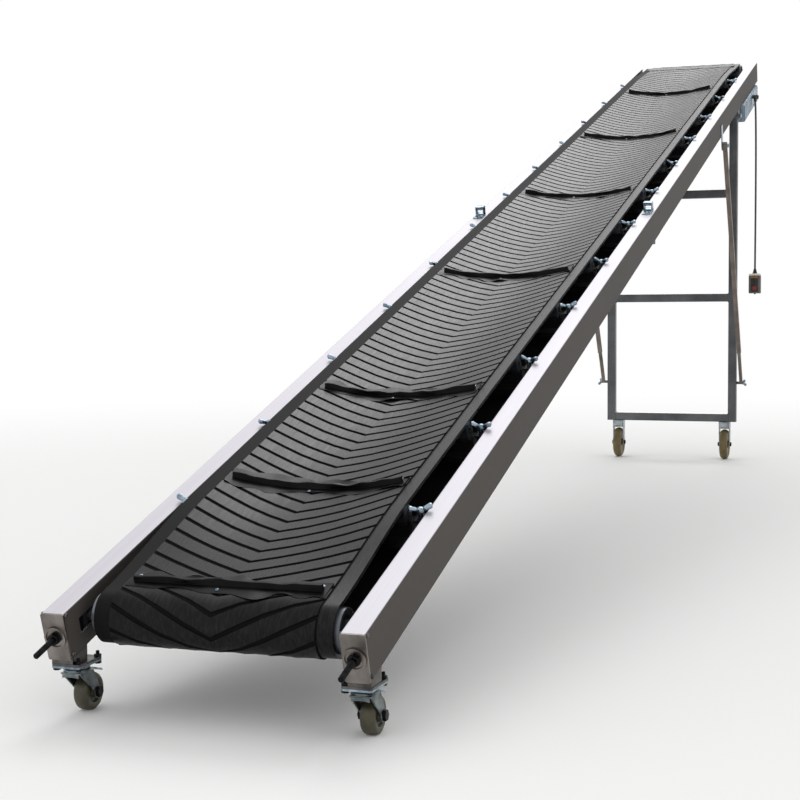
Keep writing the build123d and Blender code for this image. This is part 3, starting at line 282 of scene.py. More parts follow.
# Bolts, plates and lugs: bright zinc with a cold blue cast
ZINC = bare_metal("blue_zinc_plate", "#A3B4C0", "#677B8B", 0.28, 60, (500, 500, 500))
# Studs, axles and plate bolts: black oxide with a faint satin shine
BLACK_STEEL = bare_metal("black_oxide_steel", "#2A2A2C", "#161617", 0.42, 90, (700, 700, 700))
# Leg frame: grey galvanised tube, cloudy, drawn along its posts, with a painted highlight, a pale tone, where
# it faces up
FRAME_STEEL = bare_metal("galvanised_frame_tube", "#6C6E70", "#555759", 0.44, 7, (120, 120, 12), "#DAD9D2")
# Braces: tube tarnished to a brownish grey
BRACE_STEEL = bare_metal("browned_brace_tube", "#857B73", "#655C55", 0.45, 14, (200, 30, 30))
# Drums and rollers: grey steel with fine turning rings
ROLLER_STEEL = bare_metal("turned_roller_steel", "#7C8086", "#4B4E53", 0.35, 12, (600, 20, 20))
# Idler and return brackets: dark mill scale that hardly shines
BRACKET_STEEL = bare_metal("rolled_bracket_steel", "#4A4A4B", "#2B2B2D", 0.55, 16, (80, 80, 80))
# Control box: blue-grey galvanised sheet
BOX_STEEL = bare_metal("galvanised_box_sheet", "#8FA1AF", "#6B7985", 0.38, 12, (60, 60, 60))
# Rear forks and box flange: pale, almost white zinc
FORK_ZINC = bare_metal("pale_zinc_fork", "#B2B9BC", "#7A8387", 0.32, 40, (300, 300, 300))
# Tail forks: zinc darkened as painted shade
SWIVEL_ZINC = bare_metal("shade_darkened_zinc_fork", "#858D8F", "#4C5355", 0.34, 40, (300, 300, 300))
RUBBER = belt_rubber()
# Cleats: cured patch rubber, blacker than the belt, with little shine
CLEAT_RUBBER = moulded("cured_patch_rubber", "#0C0C0D", "#050506", 0.3, 0.004, 0.09)
# Splice: rubber scuffed to a patchy grey
SPLICE_RUBBER = moulded("scuffed_splice_rubber", "#7B7A78", "#2E2E2E", 0.5, 0.003)
# Tyres: cream polyurethane aged to olive at the tail and to yellow under the leg frame
FRONT_TYRE = moulded("olive_cream_polyurethane", "#4C4833", "#312E21", 0.42, 0.002)
REAR_TYRE = moulded("yellow_cream_polyurethane", "#726339", "#4A3E23", 0.42, 0.002)
# Pendant, cord and gland: plain moulded plastics, satin, each in its own colour
PENDANT_PLASTIC = moulded("grey_abs", "#5F5853", "#453E3A", 0.45, 0.0012)
CORD_PVC = moulded("dark_grey_pvc", "#3C4042", "#2A2D2F", 0.4, 0.001)
GLAND_NYLON = moulded("black_nylon", "#232325", "#161618", 0.4, 0.001)
BUTTON_PLASTIC = moulded("black_button_plastic", "#1C1B1B", "#121112", 0.35, 0.001)
RED_PLASTIC = moulded("red_button_plastic", "#9A2A24", "#751B17", 0.35, 0.001)
PALE_PLASTIC = moulded("pale_abs", "#E6E1D8", "#D2CCC1", 0.4, 0.0012)
AMBER_PLASTIC = moulded("amber_abs", "#B07C2C", "#84581A", 0.4, 0.0012)


# Belt

RIBS = 257
RIB_DEPTH = 0.0035
# Rise of each step up a rib's flank, and how far it narrows the rib
RIB_STEPS = ((0.0026, 0.95), (0.0009, 0.95))
RIB_REACH = 0.217
MARGIN_FROM = RIB_REACH + 0.002
# Share of the rib tops' shine that the left margin keeps
LEFT_MARGIN_SHINE = 0.3
RIB_RAKE = 0.5
GROOVE = 0.008
HEAD_TURN = pi * HEAD_BELT_RADIUS
TAIL_TURN = pi * TAIL_BELT_RADIUS
RUN = HEAD_DRUM_AT - TAIL_DRUM_AT
LOOP = 2 * RUN + HEAD_TURN + TAIL_TURN
RIB_PITCH = LOOP / RIBS


def ease(share):
    """Smooth step from 0 to 1."""
    share = min(1.0, max(0.0, share))
    return share * share * (3 - 2 * share)


def trough(x):
    """Height of the troughed belt above its middle: flat on the middle roller, rising on the side rollers."""
    steep = TROUGH_RISE / ((BELT_WIDTH - TROUGH_FLAT) / 2)
    soft = 0.07
    past = abs(x) - TROUGH_FLAT / 2
    if past < -soft:
        return 0.0
    if past > soft:
        return steep * past
    return steep * (past + soft) ** 2 / (4 * soft)


def on_belt(x, run, lift):
    """Place in the rail axes of a point on the belt, by its way round the loop and its lift off the ribs."""
    run = run % LOOP
    if run <= RUN:
        along = TAIL_DRUM_AT + run
        tail = 1 - ease(run / (IDLER_FIRST - TAIL_DRUM_AT))
        head = ease((along - TROUGH_END) / (HEAD_DRUM_AT - TROUGH_END))
        flat = tail * (TAIL_BELT_RADIUS - DRUM_DROP) + head * (HEAD_BELT_RADIUS - DRUM_DROP)
        return Vector((x, along, flat + (1 - tail - head) * trough(x) + lift))
    run -= RUN
    if run <= HEAD_TURN:
        turn = run / HEAD_BELT_RADIUS
        reach = HEAD_BELT_RADIUS + lift
        return Vector((x, HEAD_DRUM_AT + reach * sin(turn), reach * cos(turn) - DRUM_DROP))
    run -= HEAD_TURN
    if run <= RUN:
        face = DRUM_DROP + HEAD_BELT_RADIUS + (TAIL_BELT_RADIUS - HEAD_BELT_RADIUS) * run / RUN
        return Vector((x, HEAD_DRUM_AT - run, -face - lift))
    turn = (run - RUN) / TAIL_BELT_RADIUS
    reach = TAIL_BELT_RADIUS + lift
    return Vector((x, TAIL_DRUM_AT - reach * sin(turn), -DRUM_DROP - reach * cos(turn)))


def pick(piece, kind, wanted):
    """Opens a piece for editing with only the wanted vertices, edges or polygons selected."""
    bpy.ops.object.mode_set(mode="OBJECT")
    for part in (piece.data.vertices, piece.data.edges, piece.data.polygons):
        part.foreach_set("select", [False] * len(part))
    for item in getattr(piece.data, kind):
        item.select = wanted(item)
    bpy.context.tool_settings.mesh_select_mode = [kind == name for name in ("vertices", "edges", "polygons")]
    bpy.ops.object.mode_set(mode="EDIT")


def draw_out(*way):
    """Extrudes the selected faces along a way."""
    bpy.ops.mesh.extrude_region_move(TRANSFORM_OT_translate={"value": way})


def cut(place, normal):
    """Bisects the whole open mesh with a plane."""
    bpy.ops.mesh.select_all(action="SELECT")
    bpy.ops.mesh.bisect(plane_co=place, plane_no=normal)


def belt_stretch(first, count, top_rows):
    """Flat stretch of ribbed belt: one rib, repeated, with more rows on its top where it turns a drum."""
    bpy.ops.object.select_all(action="DESELECT")
    bpy.ops.mesh.primitive_plane_add(size=1, location=(0, RIB_PITCH / 2, -RIB_DEPTH))
    strip = bpy.context.object
    strip.scale = (BELT_WIDTH, RIB_PITCH, 1)
    bpy.ops.object.transform_apply(location=True, rotation=True, scale=True)
    bpy.ops.object.mode_set(mode="EDIT")
    columns = [RIB_REACH * i / 4 for i in range(-4, 5)]
    for x in [-MARGIN_FROM] + columns + [MARGIN_FROM]:
        cut((x, 0, 0), (1, 0, 0))
    rib = RIB_PITCH - GROOVE
    for row in range(top_rows):
        cut((0, GROOVE + rib * row / top_rows, 0), (0, 1, 0))
    pick(strip, "polygons", lambda f: abs(f.center.x) < RIB_REACH and f.center.y > GROOVE)
    middle = (0, GROOVE + rib / 2, 0)
    for lift, long in RIB_STEPS:
        draw_out(0, 0, lift)
        bpy.ops.transform.resize(value=(0.996, long, 1), center_override=middle)
    edge = BELT_WIDTH / 2 - 0.0001
    pick(strip, "edges", lambda e: all(abs(strip.data.vertices[i].co.x) > edge for i in e.vertices))
    bpy.ops.mesh.extrude_edges_move(TRANSFORM_OT_translate={"value": (0, 0, RIB_DEPTH - BELT_THICK)})
    bpy.ops.mesh.bridge_edge_loops(number_cuts=9)
    bpy.ops.object.mode_set(mode="OBJECT")
    row = strip.modifiers.new("row", "ARRAY")
    row.count = count
    row.use_relative_offset = False
    row.use_constant_offset = True
    row.constant_offset_displace = (0, RIB_PITCH, 0)
    row.use_merge_vertices = True
    row.merge_threshold = 0.00002
    bpy.ops.object.modifier_apply(modifier="row")
    strip.location.y = first * RIB_PITCH
    bpy.ops.object.transform_apply(location=True, rotation=True, scale=True)
    return strip


def gather(name, pieces):
    """Joins pieces into one object of that name."""
    bpy.ops.object.select_all(action="DESELECT")
    for piece in pieces:
        piece.select_set(True)
    bpy.context.view_layer.objects.active = pieces[0]
    if len(pieces) > 1:
        bpy.ops.object.join()
    pieces[0].name = name
    return pieces[0]


def close_up(piece):
    """Merges doubles and points the faces outwards."""
    bpy.context.view_layer.objects.active = piece
    bpy.ops.object.mode_set(mode="EDIT")
    bpy.ops.mesh.select_all(action="SELECT")
    bpy.ops.mesh.remove_doubles(threshold=0.00003)
    bpy.ops.mesh.normals_make_consistent(inside=False)
    bpy.ops.object.mode_set(mode="OBJECT")


def finish_piece(piece, body, material, smooth=40):
    """Shades a piece, gives it its finish and sets it on its body."""
    bpy.ops.object.select_all(action="DESELECT")
    piece.select_set(True)
    bpy.context.view_layer.objects.active = piece
    bpy.ops.object.shade_smooth_by_angle(angle=radians(smooth))
    piece.data.materials.clear()
    piece.data.materials.append(material)
    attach(piece, body)
    return piece


def ribbed_belt():
    """Endless chevron belt, laid flat from ribs and then wrapped round the drums and sunk into its trough."""
    lean = RIB_RAKE * RIB_REACH
    head_from = int((RUN - lean) / RIB_PITCH) - 1
    head_to = int((RUN + HEAD_TURN) / RIB_PITCH) + 1
    tail_from = int((2 * RUN + HEAD_TURN - lean) / RIB_PITCH) - 1
    stretches = ((0, head_from, 1), (head_from, head_to, 5), (head_to, tail_from, 1), (tail_from, RIBS, 5))
    belt = gather("belt_skin", [belt_stretch(first, last - first, rows) for first, last, rows in stretches])
    top = belt.data.attributes.new("rib_top", "FLOAT", "POINT")
    for vertex, mark in zip(belt.data.vertices, top.data):
        x, run, lift = vertex.co
        on_rib = lift > -RIB_STEPS[-1][0] / 2
        beside = LEFT_MARGIN_SHINE if x < 0 else 1.0
        mark.value = 1.0 if on_rib else beside if abs(x) > RIB_REACH + 0.001 else 0.0
        vertex.co = RAIL_AXES @ on_belt(x, run + RIB_RAKE * min(abs(x), RIB_REACH), lift)
    close_up(belt)
    finish_piece(belt, "frame", RUBBER)
    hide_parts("belt")


ribbed_belt()


# Shaping of the fittings

SIDES = {"left": -1, "right": 1}
TO_TAIL = Matrix.Rotation(pi / 2, 4, "X")
DOWN = Matrix.Rotation(pi, 4, "X")


def facing(hand):
    """Turn that points a piece's own +Z out to the right (1) or to the left (-1)."""
    return Matrix.Rotation(hand * pi / 2, 4, "Y")


def at(x, y, z):
    """Shift to a place."""
    return Matrix.Translation((x, y, z))


def start(kind, scale=(1, 1, 1), **settings):
    """Adds a primitive, alone in the selection, with its place and size in its mesh."""
    bpy.ops.object.select_all(action="DESELECT")
    getattr(bpy.ops.mesh, "primitive_" + kind + "_add")(**settings)
    bpy.context.object.scale = scale
    bpy.ops.object.transform_apply(location=True, rotation=True, scale=True)
    return bpy.context.object


def turned(profile, sides=24):
    """Piece turned about +Z, drawn up from a disc by steps of radius and height; six sides make a nut."""
    radius, height = profile[0]
    piece = start("circle", vertices=sides, radius=radius, location=(0, 0, height), fill_type="NGON")
    bpy.ops.object.mode_set(mode="EDIT")
    bpy.ops.mesh.select_all(action="SELECT")
    for wide, high in profile[1:]:
        draw_out(0, 0, high - height)
        bpy.ops.transform.resize(value=(wide / radius, wide / radius, 1), center_override=(0, 0, 0))
        radius, height = wide, high
    bpy.ops.object.mode_set(mode="OBJECT")
    return piece


def modified(piece, kind, **settings):
    """Applies one modifier to a piece."""
    bpy.context.view_layer.objects.active = piece
    step = piece.modifiers.new("step", kind)
    for key, value in settings.items():
        setattr(step, key, value)
    bpy.ops.object.modifier_apply(modifier="step")
    return piece


def round_over(piece, edge, steps=2):
    """Rounds the sharp edges of a piece."""
    return modified(piece, "BEVEL", width=edge, segments=steps, limit_method="ANGLE", angle_limit=radians(35))


def block(low, high, edge):
    """Block between two corners with its edges rounded over."""
    low, high = Vector(low), Vector(high)
    return round_over(start("cube", size=1, location=(low + high) / 2, scale=high - low), edge)


def settle(piece, *places):
    """Sets a modelled piece at its first place, and copies of it, each with its own mesh, at the others."""
    twins = [piece]
    for _ in places[1:]:
        twin = piece.copy()
        twin.data = piece.data.copy()
        scene.collection.objects.link(twin)
        twins.append(twin)
    for twin, place in zip(twins, places):
        twin.data.transform(place)
    return twins


def deliver(name, pieces, body, material, nodes=(), smooth=40):
    """Joins shaped pieces into one fitting, closes it, finishes it and lets it stand for its CAD nodes."""
    piece = gather(name, pieces)
    close_up(piece)
    finish_piece(piece, body, material, smooth)
    if nodes:
        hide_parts(*nodes)
    return piece


def nut(flats, thick):
    """Six-sided nut or bolt head with chamfered corners."""
    wide = flats / 2 / cos(pi / 6)
    return turned(((wide * 0.9, 0), (wide, thick * 0.15), (wide, thick * 0.85), (wide * 0.9, thick)), 6)


def pan_head(radius, height):
    """Domed screw head."""
    dome = ((radius, 0), (radius, height * 0.4), (radius * 0.82, height * 0.8), (radius * 0.45, height))
    return turned(dome, 12)


def threaded(radius, length, pitch):
    """Threaded stud: crests and roots one after the other, and a chamfered tip."""
    profile = []
    for turn in range(int(length / pitch)):
        profile += [(radius * 0.86, turn * pitch), (radius, (turn + 0.5) * pitch)]
    return turned(profile + [(radius * 0.86, length - 0.001), (radius * 0.65, length)], 16)


# Belt cleats

CLEAT_REACH = 0.212
CLEAT_LENGTH = 0.11
CLEAT_SHEET = 0.003
CLEAT_BAR = 0.011
FLAP_FROM = 0.01
FLAP_LENGTH = 0.045
RIVET_OUTER = 0.196
CARRY_CLEATS = (0.145, 0.633, 1.223, 2.301, 3.379, 4.457, 5.535)
RETURN_CLEATS = (6.251, 5.173, 4.095, 3.017, 1.939, 0.861)
RIVETS = (-RIVET_OUTER, -0.012, RIVET_OUTER)
SPLICE_REACH = 0.23
SPLICE_LENGTH = 0.062
SPLICE_SHEET = 0.002
SPLICE_AT = RUN - 0.07


def ragged(x, seed, size):
    """Smooth uneven number from -1 to 1 along a cleat; size is the width of its waves."""
    return noise.noise(Vector((x / size, seed * 7.3, 0.5)))


def cross_cleat():
    """Flat cleat: a thin slab of rubber cut into strips, with a tapered bar drawn up along its middle."""
    strip = start("cube", size=1, location=(0, 0, -CLEAT_SHEET / 2),
                  scale=(2 * CLEAT_REACH, CLEAT_LENGTH, CLEAT_SHEET))
    bpy.ops.object.mode_set(mode="EDIT")
    for step in range(1, 40):
        cut((CLEAT_REACH * (step / 20 - 1), 0, 0), (1, 0, 0))
    for row in (-0.04, -0.026, -0.014, -0.0065, 0.0065, 0.014, 0.026, 0.04):
        cut((0, row, 0), (0, 1, 0))
    pick(strip, "polygons", lambda f: f.normal.z > 0.5 and abs(f.center.y) < 0.006
         and abs(f.center.x) < CLEAT_REACH - 0.012)
    for lift, narrow in ((0.002, 0.84), (0.007, 0.88), (0.002, 0.66)):
        draw_out(0, 0, lift)
        bpy.ops.transform.resize(value=(0.998, narrow, 1), center_override=(0, 0, 0))
    bpy.ops.object.mode_set(mode="OBJECT")
    return strip


def lay_cleat(strip, run, seed):
    """Lays a flat cleat on the belt, with a ragged outline, creases in its flaps and a slightly wavy bar."""
    for vertex in strip.data.vertices:
        x, along, lift = vertex.co
        side = seed + (0.5 if along > 0 else 0)
        flap = max(0.0, abs(along) - FLAP_FROM) / FLAP_LENGTH
        along *= 1 - flap * (0.42 + 0.62 * ragged(x, side, 0.06))
        crease = 0.008 * flap * max(0.0, ragged(x, side + 3, 0.04))
        bar = max(0.0, lift) / CLEAT_BAR
        along += bar * 0.006 * ragged(x, seed + 5, 0.06)
        lift += bar * 0.004 * ragged(x, seed + 9, 0.03)
        vertex.co = RAIL_AXES @ on_belt(x, run + along, lift + 0.0018 - 0.0012 * flap + crease)


def belt_cleats():
    """Cleats across the belt on both runs, and the three rivet heads that hold each one."""
    runs = [place - TAIL_DRUM_AT for place in CARRY_CLEATS]
    runs += [RUN + HEAD_TURN + HEAD_DRUM_AT - place for place in RETURN_CLEATS]
    strips = settle(cross_cleat(), *[Matrix() for _ in runs])
    for seed, (strip, run) in enumerate(zip(strips, runs)):
        lay_cleat(strip, run, seed)
    deliver("belt_cleats", strips, "frame", CLEAT_RUBBER)
    heads = []
    for seed, run in enumerate(runs):
        for x in RIVETS:
            back = (0.016 if abs(x) == RIVET_OUTER else -0.021) + 0.004 * ragged(x, seed, 0.05)
            foot = on_belt(x, run + back, 0.0012)
            out = Matrix() if run < RUN else DOWN
            heads.append(RAIL_AXES @ Matrix.Translation(foot) @ out)
    deliver("cleat_rivets", settle(pan_head(0.0045, 0.0028), *heads), "frame", ZINC)


def belt_splice():
    """Scuffed splice strip with ragged edges, across the belt where it meets the head drum."""
    strip = start("cube", size=1, location=(0, 0, -SPLICE_SHEET / 2),
                  scale=(2 * SPLICE_REACH, SPLICE_LENGTH, SPLICE_SHEET))
    bpy.ops.object.mode_set(mode="EDIT")
    for step in range(1, 48):
        cut((SPLICE_REACH * (step / 24 - 1), 0, 0), (1, 0, 0))
    for row in (-0.018, 0, 0.018):
        cut((0, row, 0), (0, 1, 0))
    bpy.ops.object.mode_set(mode="OBJECT")
    for vertex in strip.data.vertices:
        x, along, lift = vertex.co
        along *= 1 + 0.35 * ragged(x, 31 + (along > 0), 0.03)
        vertex.co = RAIL_AXES @ on_belt(x, SPLICE_AT + along, lift + 0.0014 + 0.0006 * ragged(x, 37, 0.02))
    deliver("belt_splice", [strip], "frame", SPLICE_RUBBER)


belt_cleats()
belt_splice()


# Screws and bolts

IDLERS = [IDLER_FIRST + IDLER_PITCH * i for i in range(IDLER_COUNT)]
STUD_RADIUS = 0.006
STUD_REACH = 0.081
# Thread drawn at 3.5 mm a turn, about twice the real pitch, so that it shows
STUD_PITCH = 0.0035
CAP_SCREW_AT = 0.011
CAP_SCREW_DROPS = (0.006, 0.09)


def wing_screw():
    """Cast wing bolt: a domed hub on its stud, and two lobes drawn up and out."""
    hub = turned(((0.005, -0.012), (0.005, 0.0003), (0.0078, 0.0003), (0.0081, 0.0045), (0.0068, 0.0085),
                  (0.0035, 0.0103)), 14)
    wing = start("cube", size=1, location=(0.0148, 0, 0.0058), scale=(0.0216, 0.0095, 0.0105))
    bpy.ops.object.mode_set(mode="EDIT")
    for place in (0.011, 0.018):
        cut((place, 0, 0), (1, 0, 0))
    for past, lift in ((0.0105, 0.0012), (0.0175, 0.0036)):
        pick(wing, "vertices", lambda v: v.co.x > past)
        bpy.ops.transform.translate(value=(0, 0, lift))
    bpy.ops.transform.resize(value=(1, 1.4, 1.3), center_override=(0.0215, 0, 0.0106))
    bpy.ops.object.mode_set(mode="OBJECT")
    modified(wing, "SUBSURF", levels=1, render_levels=1)
    screw = gather("wing_screw", [hub] + settle(wing, Matrix(), Matrix.Rotation(pi, 4, "Z")))
    # Drawn out a little, to the stout lobes of a cast bolt
    screw.data.transform(Matrix.Diagonal((1.1, 1.25, 1.1, 1)))
    return screw


def wing_screws():
    """Wing bolts along both rails, and one at each brace's lower eye."""
    rail_places = []
    for hand in SIDES.values():
        for turn, along in enumerate(IDLERS):
            own_turn = Matrix.Rotation(0.5 * sin(2.3 * turn + hand), 4, "Z")
            rail_places.append(RAIL_AXES @ at(hand * WING_BOLT_X, along, 0) @ own_turn)
    tight = Matrix.Rotation(radians(62), 4, "Z")
    brace_places = [at(hand * BRACE_EYE_X, LEG_Y, BRACE_EYE_Z) @ facing(hand) @ tight
                    for hand in SIDES.values()]
    twins = settle(wing_screw(), *rail_places, *brace_places)
    deliver("rail_wing_bolts", twins[:-2], "frame", ZINC, ["wing_bolts"])
    for side, twin in zip(SIDES, twins[-2:]):
        deliver(f"brace_thumb_bolt_{side}", [twin], f"brace_rod_{side}", ZINC,
                [f"brace_wing_bolt_{side}"])


def tension_studs():
    """Threaded tension screw with its lock nut, standing out of each end cap."""
    out = [RAIL_AXES @ at(hand * RAIL_MID, 0.005, -DRUM_DROP) @ TO_TAIL for hand in SIDES.values()]
    pieces = settle(threaded(STUD_RADIUS, STUD_REACH, STUD_PITCH), *out)
    pieces += settle(nut(0.022, 0.012), *[place @ at(0, 0, 0.006) for place in out])
    deliver("tension_studs", pieces, "frame", BLACK_STEEL, ["tension_screws"], 25)


def cap_screws():
    """Domed screws in both sides of each rail end, near the corners of its cap."""
    places = []
    for hand in SIDES.values():
        for out in (-1, 1):
            for drop in CAP_SCREW_DROPS:
                spot = at(hand * RAIL_MID + out * RAIL_WIDTH / 2, CAP_SCREW_AT, -drop)
                places.append(RAIL_AXES @ spot @ facing(out))
    deliver("cap_screws", settle(pan_head(0.0048, 0.0036), *places), "frame", POST_STEEL)


def pivot_bolts():
    """Hexagon heads on the leg pivots and on the braces' upper pins."""
    places = []
    for side, hand in SIDES.items():
        low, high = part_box(f"leg_bracket_{side}")
        places.append(at(high[0] if hand > 0 else low[0], LEG_Y, LEG_PIVOT_Z) @ facing(hand))
        low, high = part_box(f"brace_lug_{side}")
        places.append(at(high[0] if hand > 0 else low[0], BRACE_PIN_Y, BRACE_PIN_Z) @ facing(hand))
    heads = settle(nut(0.017, 0.006), *places)
    deliver("pivot_bolts", heads, "frame", ZINC, smooth=25)


wing_screws()
tension_studs()
cap_screws()
pivot_bolts()


# Casters

CASTER_X = 0.304
CASTER_Y = -2.9643751
FORK_SHEET = 0.004
CROWN_REACH = 0.027
FRONT_RADIUS = 0.0375
FRONT_INNER = 0.018
FRONT_TRAIL = 0.042
FRONT_CROWN = 0.0887
FRONT_APRON = 0.009
PLATE_UNDER = 0.101
BASE_TOP = 0.11
PEDAL_WIDTH = 0.034
PEDAL_TIP = 0.078
PEDAL_SHEET = 0.003
REAR_X = 0.269
REAR_RADIUS = 0.075
REAR_INNER = 0.023
REAR_CROWN = LEG_BARS[0]
REAR_APRON = 0.031
BACK_APRON = 0.0368


def fork_cheek(inner, trail, axle, top):
    """Pressed cheek: a disc round the axle whose upper half is drawn out to the crown, then thickened."""
    cheek = start("circle", vertices=32, radius=0.013, location=(inner, trail, axle),
                  rotation=(0, pi / 2, 0), fill_type="NGON")
    pick(cheek, "vertices", lambda v: v.co.z > axle + 0.004)
    bpy.ops.transform.resize(value=(1, 2.16, 0), center_override=(inner, trail, top))
    bpy.ops.transform.translate(value=(0, -trail, 0))
    bpy.ops.mesh.select_all(action="SELECT")
    draw_out(FORK_SHEET, 0, 0)
    bpy.ops.object.mode_set(mode="OBJECT")
    close_up(cheek)
    return round_over(cheek, 0.0008, 1)


def fork_apron(inner, top, drop, arch):
    """Apron of a fork; arch is the share of its depth by which its lower edge rises over the wheel."""
    apron = start("plane", size=1, location=(0, -CROWN_REACH, top - drop / 2), rotation=(pi / 2, 0, 0),
                  scale=(2 * inner, drop, 1))
    bpy.ops.object.mode_set(mode="EDIT")
    for step in range(1, 8):
        cut((inner * (step / 4 - 1), 0, 0), (1, 0, 0))
    for share, lift in ((0.9, 0.5), (0.6, 0.35), (0.3, 0.15)):
        pick(apron, "vertices", lambda v: abs(v.co.x) < share * inner and v.co.z < top - drop * 0.75)
        bpy.ops.transform.translate(value=(0, 0, lift * arch * drop))
    bpy.ops.mesh.select_all(action="SELECT")
    draw_out(0, FORK_SHEET, 0)
    bpy.ops.object.mode_set(mode="OBJECT")
    return apron


def fork(inner, trail, axle, top, drop):
    """Pressed fork of a caster: crown with rounded corners, arched apron and two cheeks."""
    outer = inner + FORK_SHEET
    cheek = fork_cheek(inner, trail, axle, top - FORK_SHEET / 2)
    pieces = settle(cheek, Matrix(), at(-inner - outer, 0, 0))
    pieces.append(fork_apron(inner, top - FORK_SHEET / 2, drop, 0.2))
    pieces.append(block((-outer, -CROWN_REACH, top - FORK_SHEET), (outer, CROWN_REACH, top), 0.0015))
    return pieces


def axle_ends(inner, trail, axle):
    """Bolt head and lock nut with its stub of thread on the ends of a caster's axle."""
    outer = inner + FORK_SHEET
    thick = 0.0065
    right = at(outer, trail, axle) @ facing(1)
    left = at(-outer, trail, axle) @ facing(-1)
    pieces = settle(nut(0.02, thick), right, left)
    pieces += settle(threaded(0.0055, 0.0015 + thick, 0.002), left)
    rod = turned(((0.006, -outer), (0.0058, 0), (0.006, outer)), 16)
    return pieces + settle(rod, at(0, trail, axle) @ facing(1))


def swivel_race():
    """Ball race of a swivel caster: two pressed cups, the gap of the balls between them, and a king nut."""
    cups = turned(((0.024, 0.0885), (0.027, 0.0887), (0.0272, 0.0925), (0.0262, 0.0938),
                   (0.0235, 0.0942), (0.0235, 0.0952), (0.0258, 0.0957), (0.0255, 0.0985),
                   (0.023, 0.1002), (0.019, 0.1007)), 36)
    return [cups] + settle(nut(0.016, 0.007), at(0, 0, 0.0848) @ DOWN)


def foot_pedal():
    """Brake pedal: a strip with a narrow neck, bent down in steps to a rounded foot plate."""
    pedal = start("plane", size=1, location=(0, (CROWN_REACH + PEDAL_TIP) / 2, FRONT_CROWN),
                  scale=(PEDAL_WIDTH, PEDAL_TIP - CROWN_REACH, 1))
    bpy.ops.object.mode_set(mode="EDIT")
    for row in (0.034, 0.043, 0.052, 0.061, 0.070):
        cut((0, row, 0), (0, 1, 0))
    for past, drop in ((0.042, 0.0025), (0.051, 0.0032), (0.060, 0.0032), (0.069, 0.0028)):
        pick(pedal, "vertices", lambda v: v.co.y > past)
        bpy.ops.transform.translate(value=(0, 0, -drop))
    pick(pedal, "vertices", lambda v: v.co.y < 0.035)
    bpy.ops.transform.resize(value=(0.6, 1, 1), center_override=(0, 0, 0))
    pick(pedal, "vertices", lambda v: v.co.y > PEDAL_TIP - 0.0005)
    bpy.ops.transform.resize(value=(0.62, 1, 1), center_override=(0, 0, 0))
    bpy.ops.mesh.select_all(action="SELECT")
    draw_out(0, 0, -PEDAL_SHEET)
    bpy.ops.object.mode_set(mode="OBJECT")
    close_up(pedal)
    return round_over(pedal, 0.0009)


def both_faces(side):
    """Profile of a wheel from one face to the other, from the steps of one face."""
    return [(r, -half) for r, half in side] + [(r, half) for r, half in reversed(side)]


def tail_casters():
    """Swivel casters under the tail: fork, race, axle, pedal and wheel, each modelled once for both sides."""
    swivels = [at(hand * CASTER_X, CASTER_Y, 0) for hand in SIDES.values()]
    pressed = fork(FRONT_INNER, FRONT_TRAIL, FRONT_RADIUS, FRONT_CROWN, FRONT_APRON)
    forks = settle(gather("fork", pressed + swivel_race()), *swivels)
    axles = settle(gather("axle", axle_ends(FRONT_INNER, FRONT_TRAIL, FRONT_RADIUS)), *swivels)
    pedals = settle(foot_pedal(), *swivels)
    tread = ((0.0075, 0.0168), (0.0125, 0.0168), (0.0135, 0.0158), (0.0135, 0.0115), (0.0215, 0.0105),
             (0.0225, 0.0143), (0.0235, 0.015), (0.0315, 0.015), (0.0342, 0.0142), (0.0362, 0.012),
             (FRONT_RADIUS, 0.009))
    wheels = settle(turned(both_faces(tread), 56),
                    *[place @ at(0, FRONT_TRAIL, FRONT_RADIUS) @ facing(1) for place in swivels])
    for side, fork_piece, axle, pedal, wheel in zip(SIDES, forks, axles, pedals, wheels):
        caster = f"caster_{side}"
        deliver(f"swivel_fork_{side}", [fork_piece], caster, SWIVEL_ZINC,
                [f"caster_fork_{side}"])
        deliver(f"caster_axle_{side}", [axle], caster, BLACK_STEEL, smooth=25)
        deliver(f"foot_pedal_{side}", [pedal], caster, ZINC, [f"brake_pedal_{side}"])
        deliver(f"tail_tyre_{side}", [wheel], f"front_wheel_{side}", FRONT_TYRE,
                [f"front_wheel_{side}"])


def plate_bolts():
    """Bolts of the tail casters' top plates: heads under the plate, nuts and thread ends above it."""
    heads = []
    nuts = []
    for hand in SIDES.values():
        for x in (-0.025, 0.023):
            for y in (-0.037, 0.037):
                spot = at(hand * (CASTER_X + x), CASTER_Y + y, 0)
                heads.append(spot @ at(0, 0, PLATE_UNDER) @ DOWN)
                if y > 0 or x < 0:
                    nuts.append(spot @ at(0, 0, BASE_TOP))
    pieces = settle(nut(0.013, 0.005), *heads, *nuts)
    pieces += settle(threaded(0.004, 0.012, 0.002), *nuts)
    deliver("caster_plate_bolts", pieces, "frame", BLACK_STEEL, smooth=25)


